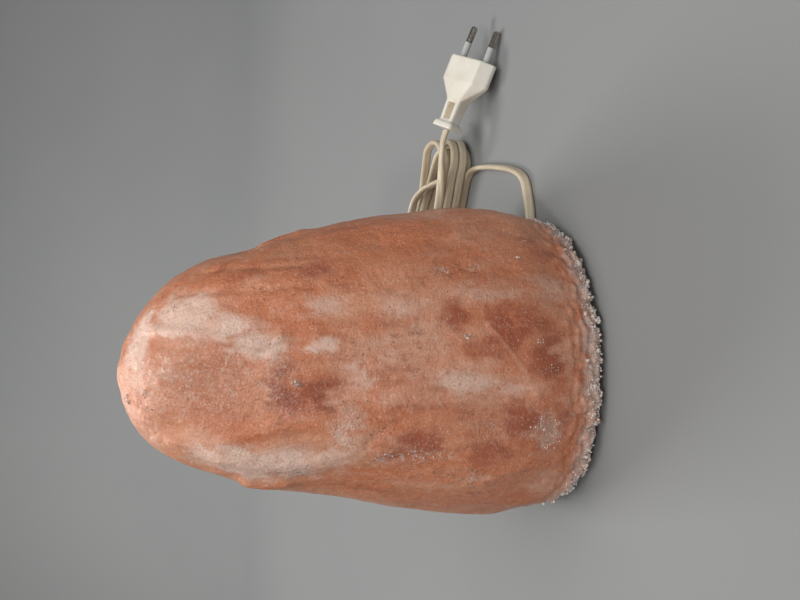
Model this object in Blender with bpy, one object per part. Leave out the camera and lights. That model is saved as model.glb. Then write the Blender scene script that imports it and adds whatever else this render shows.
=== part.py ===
"""Rock-salt lamp: a hollowed block of rock salt over an E14 fitting, with its flat twin cord,
inline rocker switch and two-pin plug. Frame: +Z up, origin under the middle of the block, on the
surface it stands on. Dimensions below are in millimetres; MM turns them into Blender's metres."""

import bpy
import bmesh
import math
import numpy as np
from mathutils import Matrix, Vector

MM = 0.001
GAP = 0.3

# salt block: height above the table, extent to the left (-X), right, front (-Y) and back of the axis
ROCK_SECTIONS = (
    (4, 71.5, 72, 66, 60),
    (12, 76, 76.5, 69, 64),
    (30, 76.6, 79, 69.5, 66),
    (60, 72.4, 77.8, 67, 65),
    (92, 65.2, 72.8, 62, 61),
    (122, 57, 66.8, 56, 56),
    (151, 52.5, 57.5, 48, 49),
    (178, 42, 47.7, 37, 39),
    (192, 35, 36.5, 28, 30),
    (201, 26, 25, 18, 20),
    (207, 15, 14, 9, 11),
)
ROCK_APEX = (-1, 0, 210)
ROCK_SEGMENTS = 40
ROCK_RING_STEP = 9
ROCK_SQUARENESS = 2.35
# dished face on the upper front: a point on it, its outward normal, its half width and height range
SCOOP_POINT = Vector((-14, -44, 160))
SCOOP_NORMAL = Vector((-0.20, -0.82, 0.54)).normalized()
SCOOP_CENTRE_X = -14
SCOOP_HALF_WIDTH = 27
SCOOP_LOW, SCOOP_HIGH = 112, 206
BORE_RADIUS = 26
BORE_TOP = 125
BORE_SIDES = 36
GROOVE_LOW = (0, -7, 2)
GROOVE_HIGH = (95, 3, 13)
FOOT_RADIUS = 7.5
FOOT_HEIGHT = 3.7
FOOT_X, FOOT_Y = 38, 34

# lamp fitting, all on the Z axis
GLAND_LOW, GLAND_HIGH = 20, 23.7
CORD_HOLE = 3.2
CAP_LOW, CAP_HIGH = 24, 40
HOLDER_RADIUS = 13.5
HOLDER_SIDES = 24
CORE_RADIUS = 10.3
CORE_LOW, CORE_HIGH = 36, 66
CUP_RADIUS, CUP_FLOOR = 8.0, 46
SHELL_OUTER = 7.7
THREAD_PITCH = 2.82
THREAD_DEPTH = 0.35
THREAD_SIDES = 16
SHELL_THREAD_RADIUS = 6.95
BULB_THREAD_RADIUS = 6.55
SHELL_LOW, SHELL_HIGH = 46.3, 65
TERMINAL_X = 5
TERMINAL_SIZE = 5
TERMINAL_LOW = 30.5
LIVE_RIVET_X, NEUTRAL_RIVET_X = 5, -6.6
RIVET_RADIUS = 0.9
# small turn that keeps a round cutter's corners off the edges of what it cuts
CUTTER_TURN = 0.11
LEG_WIRE = 0.7
LEG_PROFILE = ((15.4, 42.3), (19, 43), (23.6, 47), (24.8, 52), (22.5, 57), (17.5, 60))
LEG_COUNT = 3

# bulb
BULB_CAP_LOW, BULB_CAP_HIGH = 49.5, 67
BULB_CAP_INNER = 5.7
BULB_RIM_RADIUS, BULB_RIM_HIGH = 7.6, 68.5
BULB_OUTER = ((7.2, 68.8), (7.6, 71), (9.5, 76), (12.2, 83), (13.1, 90),
              (12.3, 96), (9, 101), (4.5, 103.4), (0, 104))
BULB_WALL = 0.9
BULB_TIP_LOW = 47.3

# cord: round stand-in for the flat twin flex of 5.4 x 3.2
CORD_RADIUS = 2.2
CORD_STEP = 9.5
LEAD_ROUTE = ((0, 0, 27), (0, 0, 22.5), (1.2, 0, 16), (5.5, -0.3, 9.8), (13, -0.7, 5.8),
              (24, -1, 4.2), (42, -1.3, 3.3), (60, -1.5, 3), (75, -2, 2.8), (86.6, 0.7, 2.7),
              (96.4, 5, 2.7), (102.5, 16.7, 2.7), (107, 36, 2.7), (109.3, 52, 2.7), (109.6, 66.3, 2.7))
SWITCH_IN_ROUTE = ((43.8, 99.5, 6.2), (38, 99.9, 8), (32, 100, 9), (25, 100, 9.05))
SWITCH_OUT_ROUTE = ((-21, 100, 9.05), (-30, 100.4, 8.6), (-42, 103, 4.5), (-50, 114, 2.8),
                    (-48, 126, 2.7), (-38, 133.5, 2.7), (-20, 135.5, 2.7), (10, 134, 2.7),
                    (34, 132, 2.7), (50.7, 129.7, 2.7))
TAIL_ROUTE = ((86, 79, 21.2), (95, 76.5, 21.2), (104, 72, 22.5), (112, 67, 24.6),
              (118.2, 64, 26.2), (124.5, 61.9, 24.9), (130.9, 59.9, 22.9))
HANK_RIGHT, HANK_RIGHT_RADIUS = Vector((114, 84)), 17.4
HANK_LEFT, HANK_LEFT_RADIUS = Vector((66, 110)), 23
HANK_LOW, HANK_HIGH = 0.3, 18.6

# plug: X towards the pins, Y across them, Z through its thickness; origin in its front face
PLUG_ORIGIN = Vector((170.3, 47.4, 10.8))
PLUG_X = Vector((0.915, -0.29, -0.281))
PLUG_Y = Vector((0.38, 0.852, 0.36))
# distance back from the face, half width, half width of the flat, half thickness, same at the edge
PLUG_SECTIONS = (
    (0, 17.5, 11.2, 6.9, 1.2),
    (-14, 17.5, 11.2, 6.9, 1.2),
    (-19.5, 11.6, 7.8, 5.7, 2.3),
    (-25, 5.8, 4.8, 4.5, 3.4),
    (-37.8, 5, 4.4, 4.2, 3.4),
    (-38.8, 7.2, 6, 5.8, 4.8),
    (-42, 7.8, 6.4, 6.3, 5.2),
)
PLUG_WINDOW_LOW, PLUG_WINDOW_HIGH = (-36.6, -2.6, 3.4), (-26.4, 2.6, 9)
CARRIER_SIZE = (9.5, 24.4, 8.4)
PIN_OFFSET = 9.3
PIN_RADIUS, PIN_CORE_RADIUS = 2.0, 1.45
PIN_LENGTH = 19
SLEEVE_LENGTH = 9.2
PIN_CONVERGENCE = math.radians(1.3)

# inline switch: X along the cord, origin on the table under its middle
SWITCH_ORIGIN = Vector((2, 100, 0))
SWITCH_OUTLINE = ((30, -8), (30, 8), (22, 13), (-22, 13), (-30, 8), (-30, -8), (-22, -13), (22, -13))
SWITCH_WALL = 1.8
SWITCH_LOW, SWITCH_SPLIT_LOW, SWITCH_SPLIT_HIGH, SWITCH_HIGH = 0.4, 8.9, 9.2, 17.5
SWITCH_CORD_Z, SWITCH_CORD_HOLE = 9.05, 2.9
SHELL_SCREWS = ((14, -8.2), (-14, 8.2))
BOSS_RADIUS, PILOT_RADIUS = 4.0, 1.5
ROCKER_PROFILE = ((-8, 19.4), (0, 17.8), (8, 19.4), (8, 13), (3, 11), (-3, 11), (-8, 13))
ROCKER_HALF_WIDTH = 5
ROCKER_WINDOW = (9, 5.5)
ROCKER_AXIS_Z = 14.5
ROCKER_OFF_TILT = math.radians(-8)
ROCKER_HOLE, ROCKER_PIN_RADIUS, ROCKER_PIN_HALF = 1.3, 1.0, 7.0
CONTACT_TERMINAL_X = 16


def material(name, colour, roughness, metallic=0.0):
    made = bpy.data.materials.new(name)
    made.use_nodes = True
    shader = made.node_tree.nodes["Principled BSDF"]
    shader.inputs["Base Color"].default_value = (*colour, 1.0)
    shader.inputs["Roughness"].default_value = roughness
    shader.inputs["Metallic"].default_value = metallic
    made.diffuse_color = (*colour, 1.0)
    return made


def add_object(name, verts, faces, finish, parent=None):
    """A closed mesh object, from vertices in millimetres, with its faces turned outwards."""
    mesh = bpy.data.meshes.new(name)
    mesh.from_pydata([Vector(v) * MM for v in verts], [], faces)
    work = bmesh.new()
    work.from_mesh(mesh)
    bmesh.ops.recalc_face_normals(work, faces=work.faces)
    work.to_mesh(mesh)
    work.free()
    mesh.materials.append(finish)
    made = bpy.data.objects.new(name, mesh)
    bpy.context.collection.objects.link(made)
    made.parent = parent
    return made


def smooth(made, angle=35):
    made.data.shade_smooth()
    made.data.set_sharp_from_angle(angle=math.radians(angle))
    return made


def frame_empty(name, matrix):
    made = bpy.data.objects.new(name, None)
    bpy.context.collection.objects.link(made)
    made.matrix_world = matrix
    return made


def turned(name, profile, finish, sides=24, axis="Z", parent=None):
    """A profile of (radius, distance along the axis), closed on itself, turned round the axis."""
    verts, rings, faces = [], [], []
    for radius, along in profile:
        count = 1 if radius < 1e-6 else sides
        rings.append([len(verts) + i for i in range(count)])
        for i in range(count):
            turn = 2 * math.pi * i / sides
            across, up = radius * math.cos(turn), radius * math.sin(turn)
            verts.append({"X": (along, across, up), "Y": (across, along, up),
                          "Z": (across, up, along)}[axis])
    for here, there in zip(rings, rings[1:] + rings[:1]):
        for i in range(sides):
            nxt = (i + 1) % sides
            corners = [here[i % len(here)], here[nxt % len(here)],
                       there[nxt % len(there)], there[i % len(there)]]
            corners = list(dict.fromkeys(corners))
            if len(corners) > 2:
                faces.append(corners)
    return smooth(add_object(name, verts, faces, finish, parent))


def block(name, low, high, finish, parent=None):
    verts = [(x, y, z) for x in (low[0], high[0]) for y in (low[1], high[1]) for z in (low[2], high[2])]
    faces = ((0, 1, 3, 2), (4, 6, 7, 5), (0, 4, 5, 1), (2, 3, 7, 6), (0, 2, 6, 4), (1, 5, 7, 3))
    return add_object(name, verts, faces, finish, parent)


def prism(name, outline, low, high, finish, parent=None, axis="Z"):
    """A flat outline drawn in XY (or in XZ for axis Y), extruded from low to high."""
    place = (lambda u, v, w: (u, v, w)) if axis == "Z" else (lambda u, v, w: (u, w, v))
    count = len(outline)
    verts = [place(u, v, low) for u, v in outline] + [place(u, v, high) for u, v in outline]
    faces = [list(range(count)), list(range(count, 2 * count))]
    faces += [(i, (i + 1) % count, count + (i + 1) % count, count + i) for i in range(count)]
    return add_object(name, verts, faces, finish, parent)


def combine(made, tool, operation):
    """A Boolean between two objects, with the tool kept as a hidden guide."""
    tool.hide_render = True
    tool.display_type = "WIRE"
    change = made.modifiers.new(tool.name, "BOOLEAN")
    change.operation = operation
    change.object = tool
    change.solver = "EXACT"
    return made


def cut(made, tool):
    return combine(made, tool, "DIFFERENCE")


def fuse(made, tool):
    return combine(made, tool, "UNION")


def rounded(made, width, segments=2, angle=30):
    bevel = made.modifiers.new("edges", "BEVEL")
    bevel.width = width * MM
    bevel.segments = segments
    bevel.limit_method = "ANGLE"
    bevel.angle_limit = math.radians(angle)
    return smooth(made)


def smooth_route(points, step):
    """Even points along a smooth curve through the given ones."""
    given = np.array(points, float)
    padded = np.vstack([2 * given[0] - given[1], given, 2 * given[-1] - given[-2]])
    dense = []
    for a, b, c, d in zip(padded, padded[1:], padded[2:], padded[3:]):
        for t in np.linspace(0, 1, 16, endpoint=False):
            dense.append(0.5 * (2 * b + (c - a) * t + (2 * a - 5 * b + 4 * c - d) * t ** 2
                                + (3 * b - a - 3 * c + d) * t ** 3))
    dense = np.array(dense + [given[-1]])
    along = np.concatenate([[0], np.cumsum(np.linalg.norm(np.diff(dense, axis=0), axis=1))])
    count = max(3, int(round(along[-1] / step)) + 1)
    stops = np.linspace(0, along[-1], count)
    return np.stack([np.interp(stops, along, dense[:, k]) for k in range(3)], axis=1)


def tube(name, points, radius, step, finish, resolution=2, parent=None):
    curve = bpy.data.curves.new(name, "CURVE")
    curve.dimensions = "3D"
    curve.bevel_depth = radius * MM
    curve.bevel_resolution = resolution
    curve.use_fill_caps = True
    route = smooth_route(points, step)
    spline = curve.splines.new("POLY")
    spline.points.add(len(route) - 1)
    for point, place in zip(spline.points, route):
        point.co = (*(place * MM), 1.0)
    curve.materials.append(finish)
    made = bpy.data.objects.new(name, curve)
    bpy.context.collection.objects.link(made)
    made.parent = parent
    return made


def rock_extents(height):
    """Smoothly interpolated extents of the salt block at a height."""
    table = np.array(ROCK_SECTIONS, float)
    levels = table[:, 0]
    slopes = np.gradient(table[:, 1:], levels, axis=0)
    k = int(np.clip(np.searchsorted(levels, height, side="right") - 1, 0, len(levels) - 2))
    span = levels[k + 1] - levels[k]
    t = (height - levels[k]) / span
    return ((2 * t ** 3 - 3 * t ** 2 + 1) * table[k, 1:] + (t ** 3 - 2 * t ** 2 + t) * span * slopes[k]
            + (3 * t ** 2 - 2 * t ** 3) * table[k + 1, 1:] + (t ** 3 - t ** 2) * span * slopes[k + 1])


def rock_point(turn, height):
    left, right, front, back = rock_extents(height)
    power = 2 / ROCK_SQUARENESS
    x = math.copysign(abs(math.cos(turn)) ** power, math.cos(turn))
    y = math.copysign(abs(math.sin(turn)) ** power, math.sin(turn))
    wave = 1 + 0.012 * math.sin(3 * turn + 1.1 + height / 46) + 0.008 * math.sin(7 * turn - height / 30)
    return Vector((x * (right if x > 0 else left) * wave, y * (back if y > 0 else front) * wave, height))


def scooped(point):
    """Flatten the upper front to a slightly dished face."""
    proud = (point - SCOOP_POINT).dot(SCOOP_NORMAL)
    across = abs(point.x - SCOOP_CENTRE_X) / SCOOP_HALF_WIDTH
    if proud <= 0 or across >= 1 or not SCOOP_LOW < point.z < SCOOP_HIGH:
        return point
    up = (point.z - SCOOP_LOW) / (SCOOP_HIGH - SCOOP_LOW)
    weight = (1 - across ** 4) * min(1, 5 * up, 6 * (1 - up))
    return point - SCOOP_NORMAL * proud * weight


def salt_rock(finish):
    low, high = ROCK_SECTIONS[0][0], ROCK_SECTIONS[-1][0]
    count = int(round((high - low) / ROCK_RING_STEP))
    heights = [low + (high - low) * math.sin(0.5 * math.pi * k / count) ** 0.9 for k in range(count + 1)]
    heights[1] = low + 3
    verts = []
    for height in heights:
        for i in range(ROCK_SEGMENTS):
            verts.append(scooped(rock_point(2 * math.pi * i / ROCK_SEGMENTS, height)))
    middle = [(min(v[k] for v in verts) + max(v[k] for v in verts)) / 2 for k in (0, 1)]
    verts = [(v[0] - middle[0], v[1] - middle[1], v[2]) for v in verts] + [ROCK_APEX]
    faces = [list(range(ROCK_SEGMENTS))]
    for ring in range(count):
        first, second = ring * ROCK_SEGMENTS, (ring + 1) * ROCK_SEGMENTS
        for i in range(ROCK_SEGMENTS):
            nxt = (i + 1) % ROCK_SEGMENTS
            faces.append((first + i, first + nxt, second + nxt, second + i))
    top = count * ROCK_SEGMENTS
    faces += [(top + i, top + (i + 1) % ROCK_SEGMENTS, len(verts) - 1) for i in range(ROCK_SEGMENTS)]
    rock = smooth(add_object("salt_rock", verts, faces, finish), 60)
    bore = turned("cut_bore", ((0, 2), (BORE_RADIUS, 2), (BORE_RADIUS, BORE_TOP), (0, BORE_TOP)),
                  finish, BORE_SIDES)
    cut(rock, bore)
    cut(rock, block("cut_groove", GROOVE_LOW, GROOVE_HIGH, finish))
    return rock


def feet(finish):
    pad = ((0, 0), (FOOT_RADIUS - 0.4, 0), (FOOT_RADIUS, 0.4), (FOOT_RADIUS, FOOT_HEIGHT), (0, FOOT_HEIGHT))
    for name, sx, sy in (("foot_front_left", -1, -1), ("foot_front_right", 1, -1),
                         ("foot_back_left", -1, 1), ("foot_back_right", 1, 1)):
        foot = turned(name, pad, finish, 24)
        foot.location = (sx * FOOT_X * MM, sy * FOOT_Y * MM, 0)


def thread_profile(radius, low, high):
    """Edison thread crests along Z, in phase wherever they are used."""
    step = THREAD_PITCH / 4
    first, last = math.ceil(low / step + 0.2), math.floor(high / step - 0.2)
    heights = [low] + [k * step for k in range(first, last + 1)] + [high]
    return [(radius + THREAD_DEPTH * math.cos(2 * math.pi * z / THREAD_PITCH), z) for z in heights]


def fitting(plastic, ceramic, brass, steel, live, neutral):
    turned("cord_gland", ((CORD_HOLE, GLAND_LOW), (5.2, GLAND_LOW), (6.5, 21.2), (6.5, GLAND_HIGH),
                          (CORD_HOLE, GLAND_HIGH)), plastic, 20)
    turned("holder_cap", ((CORD_HOLE, CAP_LOW), (8.5, CAP_LOW), (HOLDER_RADIUS, 30),
                          (HOLDER_RADIUS, CAP_HIGH), (11.6, CAP_HIGH), (11.6, 31), (7.5, 26.2),
                          (CORD_HOLE, 26.2)), plastic, HOLDER_SIDES)
    turned("clip_ring", ((10.9, 40.3), (15.5, 40.3), (15.5, 41.3), (10.9, 41.3)), steel, HOLDER_SIDES)
    turned("holder_sleeve", ((10.6, 41.6), (HOLDER_RADIUS, 41.6), (HOLDER_RADIUS, 45), (12.9, 45.6),
                             (12.9, 69.8), (12.2, 71), (10.6, 71)), plastic, HOLDER_SIDES)
    core = turned("holder_core", ((0, CORE_LOW), (CORE_RADIUS, CORE_LOW), (CORE_RADIUS, CORE_HIGH),
                                  (CUP_RADIUS, CORE_HIGH), (CUP_RADIUS, CUP_FLOOR), (0, CUP_FLOOR)),
                  ceramic, HOLDER_SIDES)
    for name, x, finish in (("contact_rivet", LIVE_RIVET_X, brass), ("shell_rivet", NEUTRAL_RIVET_X, brass)):
        hole = turned("cut_" + name, ((0, CORE_LOW - 1), (RIVET_RADIUS + GAP, CORE_LOW - 1),
                                      (RIVET_RADIUS + GAP, CUP_FLOOR + 1), (0, CUP_FLOOR + 1)), finish, 12)
        hole.location.x = x * MM
        hole.rotation_euler.z = CUTTER_TURN
        cut(core, hole)
        rivet = turned(name, ((0, CORE_LOW - 0.2), (RIVET_RADIUS, CORE_LOW - 0.2),
                              (RIVET_RADIUS, CUP_FLOOR), (0, CUP_FLOOR)), finish, 12)
        rivet.location.x = x * MM
    turned("screw_shell", [(SHELL_OUTER, SHELL_HIGH), (SHELL_OUTER, SHELL_LOW)]
           + thread_profile(SHELL_THREAD_RADIUS, SHELL_LOW, SHELL_HIGH), brass, THREAD_SIDES)
    rounded(block("centre_contact", (-2.6, -2, 46.3), (6.1, 2, 47), brass), 0.15, 1)
    for side, x, finish, label in ((1, TERMINAL_X, live, "live"), (-1, -TERMINAL_X, neutral, "neutral")):
        half = TERMINAL_SIZE / 2
        terminal = block("terminal_" + label, (x - half, -half, TERMINAL_LOW),
                         (x + half, half, TERMINAL_LOW + TERMINAL_SIZE), brass)
        middle = TERMINAL_LOW + half
        hole = turned("cut_terminal_" + label, ((0, -4), (1.4, -4), (1.4, 0.8), (0, 0.8)), brass, 12, "Y")
        hole.location = (x * MM, 0, middle * MM)
        cut(terminal, hole)
        screw = turned("terminal_screw_" + label, ((0, -4.2), (1.9, -4.2), (1.9, -2.8), (1.1, -2.8),
                                                   (1.1, 0.4), (0, 0.4)), steel, 16, "Y")
        screw.location = (x * MM, 0, middle * MM)
        tube(label + "_wire", ((side * 1.4, 0, 27.4), (side * 1.5, 0, 27.9), (side * 2.8, 0, 28.7),
                               (side * 4.3, 0, 29.1), (side * 5, 0, 29.6), (side * 5, 0, 30.15)),
             0.9, 0.8, finish)
    for leg in range(LEG_COUNT):
        turn = 2 * math.pi * leg / LEG_COUNT + math.pi / 2
        route = [(r * math.cos(turn), r * math.sin(turn), z) for r, z in LEG_PROFILE]
        tube("spring_leg_" + str(leg + 1), route, LEG_WIRE, 3, steel)


def bulb(glass, brass, insulation, tungsten):
    axis = frame_empty("bulb_axis", Matrix.Translation((0, 0, BULB_CAP_LOW * MM)))

    def shifted(profile):
        return [(r, z - BULB_CAP_LOW) for r, z in profile]

    turned("bulb_cap", shifted(thread_profile(BULB_THREAD_RADIUS, BULB_CAP_LOW, BULB_CAP_HIGH)
                               + [(BULB_RIM_RADIUS, BULB_CAP_HIGH), (BULB_RIM_RADIUS, BULB_RIM_HIGH),
                                  (BULB_CAP_INNER, BULB_RIM_HIGH), (BULB_CAP_INNER, BULB_CAP_LOW)]),
           brass, THREAD_SIDES, "Z", axis)
    inner = [(max(r - BULB_WALL, 0), z - BULB_WALL * (z - 90) / 14 if z > 90 else z) for r, z in BULB_OUTER]
    turned("bulb_glass", shifted(list(BULB_OUTER) + inner[::-1]), glass, 20, "Z", axis)
    turned("bulb_stem", shifted(((0, 69.2), (5.8, 69.2), (3.4, 71), (2, 74), (1.6, 82), (0, 82))),
           glass, 16, "Z", axis)
    turned("bulb_insulator", shifted(((0, 48.2), (2.6, 48.2), (5.6, 49.2), (0, 49.2))), insulation,
           20, "Z", axis)
    turned("bulb_tip", shifted(((0, BULB_TIP_LOW), (1.8, BULB_TIP_LOW), (2.4, 47.6), (2.4, 47.9), (0, 47.9))),
           brass, 20, "Z", axis)
    for side, name in ((-1, "filament_support_left"), (1, "filament_support_right")):
        tube(name, [(side * x, 0, z - BULB_CAP_LOW) for x, z in ((1.2, 82.3), (2.4, 85), (5.2, 89), (6.5, 92))],
             0.3, 1.6, tungsten, 1, axis)
    tube("filament", [(x, 0, 93.3 + 1.2 * math.cos(math.pi * x / 13) - BULB_CAP_LOW)
                      for x in (-6.3, -3.5, 0, 3.5, 6.3)], 0.3, 1.4, tungsten, 1, axis)


def hank_outline():
    """Two round ends of different radius joined by their common tangents."""
    between = HANK_LEFT - HANK_RIGHT
    heading = math.atan2(between.y, between.x)
    lean = math.acos((HANK_RIGHT_RADIUS - HANK_LEFT_RADIUS) / between.length)
    outline = []
    for centre, radius, first, last in (
            (HANK_RIGHT, HANK_RIGHT_RADIUS, heading + lean, heading + 2 * math.pi - lean),
            (HANK_LEFT, HANK_LEFT_RADIUS, heading - lean, heading + lean)):
        for turn in np.linspace(first, last, 16):
            outline.append((centre.x + radius * math.cos(turn), centre.y + radius * math.sin(turn)))
    return outline


def cord(flex):
    tube("cord_lead", LEAD_ROUTE, CORD_RADIUS, CORD_STEP, flex)
    tube("cord_switch_in", SWITCH_IN_ROUTE, CORD_RADIUS, CORD_STEP / 2, flex)
    tube("cord_switch_out", SWITCH_OUT_ROUTE, CORD_RADIUS, CORD_STEP, flex)
    tube("cord_tail", TAIL_ROUTE, CORD_RADIUS, CORD_STEP, flex)
    hank = prism("cord_hank", hank_outline(), HANK_LOW, HANK_HIGH, flex)
    rounded(hank, 1.5, 2, 60)


def plug(body_finish, carrier_finish, nickel, sleeve_finish):
    z_axis = PLUG_X.cross(PLUG_Y).normalized()
    y_axis = z_axis.cross(PLUG_X).normalized()
    turn = Matrix((PLUG_X.normalized(), y_axis, z_axis)).transposed().to_4x4()
    frame = frame_empty("plug_frame", Matrix.Translation(PLUG_ORIGIN * MM) @ turn)
    verts, faces = [], []
    for x, wide, flat, thick, edge in PLUG_SECTIONS:
        verts += [(x, wide, edge), (x, flat, thick), (x, -flat, thick), (x, -wide, edge),
                  (x, -wide, -edge), (x, -flat, -thick), (x, flat, -thick), (x, wide, -edge)]
    corners = 8
    for ring in range(len(PLUG_SECTIONS) - 1):
        for i in range(corners):
            nxt = (i + 1) % corners
            faces.append((ring * corners + i, ring * corners + nxt,
                          (ring + 1) * corners + nxt, (ring + 1) * corners + i))
    faces += [list(range(corners)), list(range(len(verts) - corners, len(verts)))]
    body = rounded(add_object("plug_body", verts, faces, body_finish, frame), 0.5, 2, 25)
    long, wide, high = CARRIER_SIZE
    cut(body, block("cut_carrier", (-long - GAP, -wide / 2 - GAP, -high / 2 - GAP),
                    (1, wide / 2 + GAP, high / 2 + GAP), body_finish, frame))
    for name, sign in (("cut_window_top", 1), ("cut_window_bottom", -1)):
        low, high_corner = Vector(PLUG_WINDOW_LOW), Vector(PLUG_WINDOW_HIGH)
        low.z, high_corner.z = sorted((sign * low.z, sign * high_corner.z))
        cut(body, block(name, low, high_corner, body_finish, frame))
    carrier = block("pin_carrier", (-long, -wide / 2, -high / 2), (-0.1, wide / 2, high / 2),
                    carrier_finish, frame)
    core_end = -long + 0.5
    for label, side in (("left", 1), ("right", -1)):
        pivot = frame_empty("pin_axis_" + label, Matrix())
        pivot.parent = frame
        pivot.location = (0, side * PIN_OFFSET * MM, 0)
        pivot.rotation_euler.z = -side * PIN_CONVERGENCE
        turned("pin_" + label, ((0, core_end), (PIN_CORE_RADIUS, core_end), (PIN_CORE_RADIUS, SLEEVE_LENGTH + 0.2),
                                (PIN_RADIUS, SLEEVE_LENGTH + 0.4), (PIN_RADIUS, 17.8), (1.6, 18.6),
                                (0.8, PIN_LENGTH), (0, PIN_LENGTH)), nickel, 14, "X", pivot)
        turned("pin_sleeve_" + label, ((PIN_CORE_RADIUS + GAP, 0.3), (PIN_RADIUS + 0.05, 0.3),
                                       (PIN_RADIUS + 0.05, SLEEVE_LENGTH), (PIN_CORE_RADIUS + GAP, SLEEVE_LENGTH)),
               sleeve_finish, 14, "X", pivot)
        hole = turned("cut_pin_" + label, ((0, -12), (2.05, -12), (2.05, 2), (0, 2)), nickel, 14, "X", frame)
        hole.location = (0, side * PIN_OFFSET * MM, 0)
        cut(carrier, hole)


def inset_outline(outline, wall):
    wide = max(x for x, _ in outline)
    deep = max(y for _, y in outline)
    return [(x * (wide - wall) / wide, y * (deep - wall) / deep) for x, y in outline]


def switch(shell, rocker_finish, brass, steel):
    frame = frame_empty("switch_frame", Matrix.Translation(SWITCH_ORIGIN * MM))
    inner = inset_outline(SWITCH_OUTLINE, SWITCH_WALL)
    lower = rounded(prism("switch_lower", SWITCH_OUTLINE, SWITCH_LOW, SWITCH_SPLIT_LOW, shell, frame), 0.4, 1)
    upper = rounded(prism("switch_upper", SWITCH_OUTLINE, SWITCH_SPLIT_HIGH, SWITCH_HIGH, shell, frame), 0.4, 1)
    cut(lower, prism("cut_switch_lower", inner, SWITCH_LOW + SWITCH_WALL, SWITCH_SPLIT_LOW + 2, shell, frame))
    cut(upper, prism("cut_switch_upper", inner, SWITCH_SPLIT_HIGH - 2, SWITCH_HIGH - SWITCH_WALL, shell, frame))
    notch = turned("cut_switch_cord", ((0, -40), (SWITCH_CORD_HOLE, -40), (SWITCH_CORD_HOLE, 40), (0, 40)),
                   shell, 20, "X", frame)
    notch.location.z = SWITCH_CORD_Z * MM
    cut(lower, notch)
    cut(upper, notch)
    for number, (x, y) in enumerate(SHELL_SCREWS, 1):
        label = str(number)
        low_boss = turned("fuse_boss_low_" + label, (
            (0, SWITCH_LOW + 0.8), (BOSS_RADIUS, SWITCH_LOW + 0.8), (BOSS_RADIUS, SWITCH_SPLIT_LOW),
            (0, SWITCH_SPLIT_LOW)), shell, 16, "Z", frame)
        high_boss = turned("fuse_boss_high_" + label, (
            (0, SWITCH_SPLIT_HIGH), (BOSS_RADIUS, SWITCH_SPLIT_HIGH), (BOSS_RADIUS, SWITCH_HIGH - 0.8),
            (0, SWITCH_HIGH - 0.8)), shell, 16, "Z", frame)
        sink = turned("cut_sink_" + label, (
            (0, -1), (2.9, -1), (2.9, 2.7), (PILOT_RADIUS, 2.7), (PILOT_RADIUS, 14), (0, 14)),
            shell, 16, "Z", frame)
        screw = turned("shell_screw_" + label, (
            (0, 0.6), (2.6, 0.6), (2.6, 2.4), (1.2, 2.4), (1.2, 13.4), (0, 13.4)), steel, 16, "Z", frame)
        for piece in (low_boss, high_boss, sink, screw):
            piece.location = (x * MM, y * MM, 0)
        fuse(lower, low_boss)
        cut(lower, sink)
        fuse(upper, high_boss)
        cut(upper, sink)
    wide, deep = ROCKER_WINDOW
    cut(upper, block("cut_window", (-wide, -deep, 14), (wide, deep, 19), shell, frame))
    for label, near, far in (("front", -7.3, -5.8), ("back", 5.8, 7.3)):
        fuse(upper, block("fuse_lug_" + label, (-2.5, near, 12.5), (2.5, far, SWITCH_HIGH - 1), shell, frame))
    axle = turned("cut_axle", ((0, -7.6), (ROCKER_HOLE, -7.6), (ROCKER_HOLE, 7.6), (0, 7.6)), shell, 16, "Y", frame)
    axle.location.z = ROCKER_AXIS_Z * MM
    cut(upper, axle)
    pin = turned("rocker_pin", ((0, -ROCKER_PIN_HALF), (ROCKER_PIN_RADIUS, -ROCKER_PIN_HALF),
                                (ROCKER_PIN_RADIUS, ROCKER_PIN_HALF), (0, ROCKER_PIN_HALF)), steel, 16, "Y", frame)
    pin.location.z = ROCKER_AXIS_Z * MM
    pivot = frame_empty("rocker_axis", Matrix())
    pivot.parent = frame
    pivot.location.z = ROCKER_AXIS_Z * MM
    pivot.rotation_euler.y = ROCKER_OFF_TILT
    profile = [(x, z - ROCKER_AXIS_Z) for x, z in ROCKER_PROFILE]
    rocker = rounded(prism("switch_rocker", profile, -ROCKER_HALF_WIDTH, ROCKER_HALF_WIDTH,
                           rocker_finish, pivot, "Y"), 0.4)
    bearing = turned("cut_bearing", ((0, -8), (ROCKER_HOLE, -8), (ROCKER_HOLE, 8), (0, 8)), shell, 16, "Y", pivot)
    cut(rocker, bearing)
    block("contact_lever", (-7, -1.5, 10.1 - ROCKER_AXIS_Z), (7, 1.5, 10.7 - ROCKER_AXIS_Z), brass, pivot)
    for label, side in (("in", 1), ("out", -1)):
        low_x, high_x = sorted((side * 7, side * 20))
        contact = block("fixed_contact_" + label, (low_x, -1.6, 3), (high_x, 1.6, 8.3), brass, frame)
        hole = turned("cut_contact_" + label, ((0, 4), (1.3, 4), (1.3, 9), (0, 9)), brass, 12, "Z", frame)
        screw = turned("contact_screw_" + label, ((0, 5), (1.0, 5), (1.0, 8.6), (1.5, 8.6), (1.5, 9.8), (0, 9.8)),
                       steel, 12, "Z", frame)
        hole.location.x = side * CONTACT_TERMINAL_X * MM
        screw.location.x = side * CONTACT_TERMINAL_X * MM
        cut(contact, hole)
    block("neutral_strip", (-18, 2.2, 3), (18, 3.8, 4.5), brass, frame)


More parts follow.
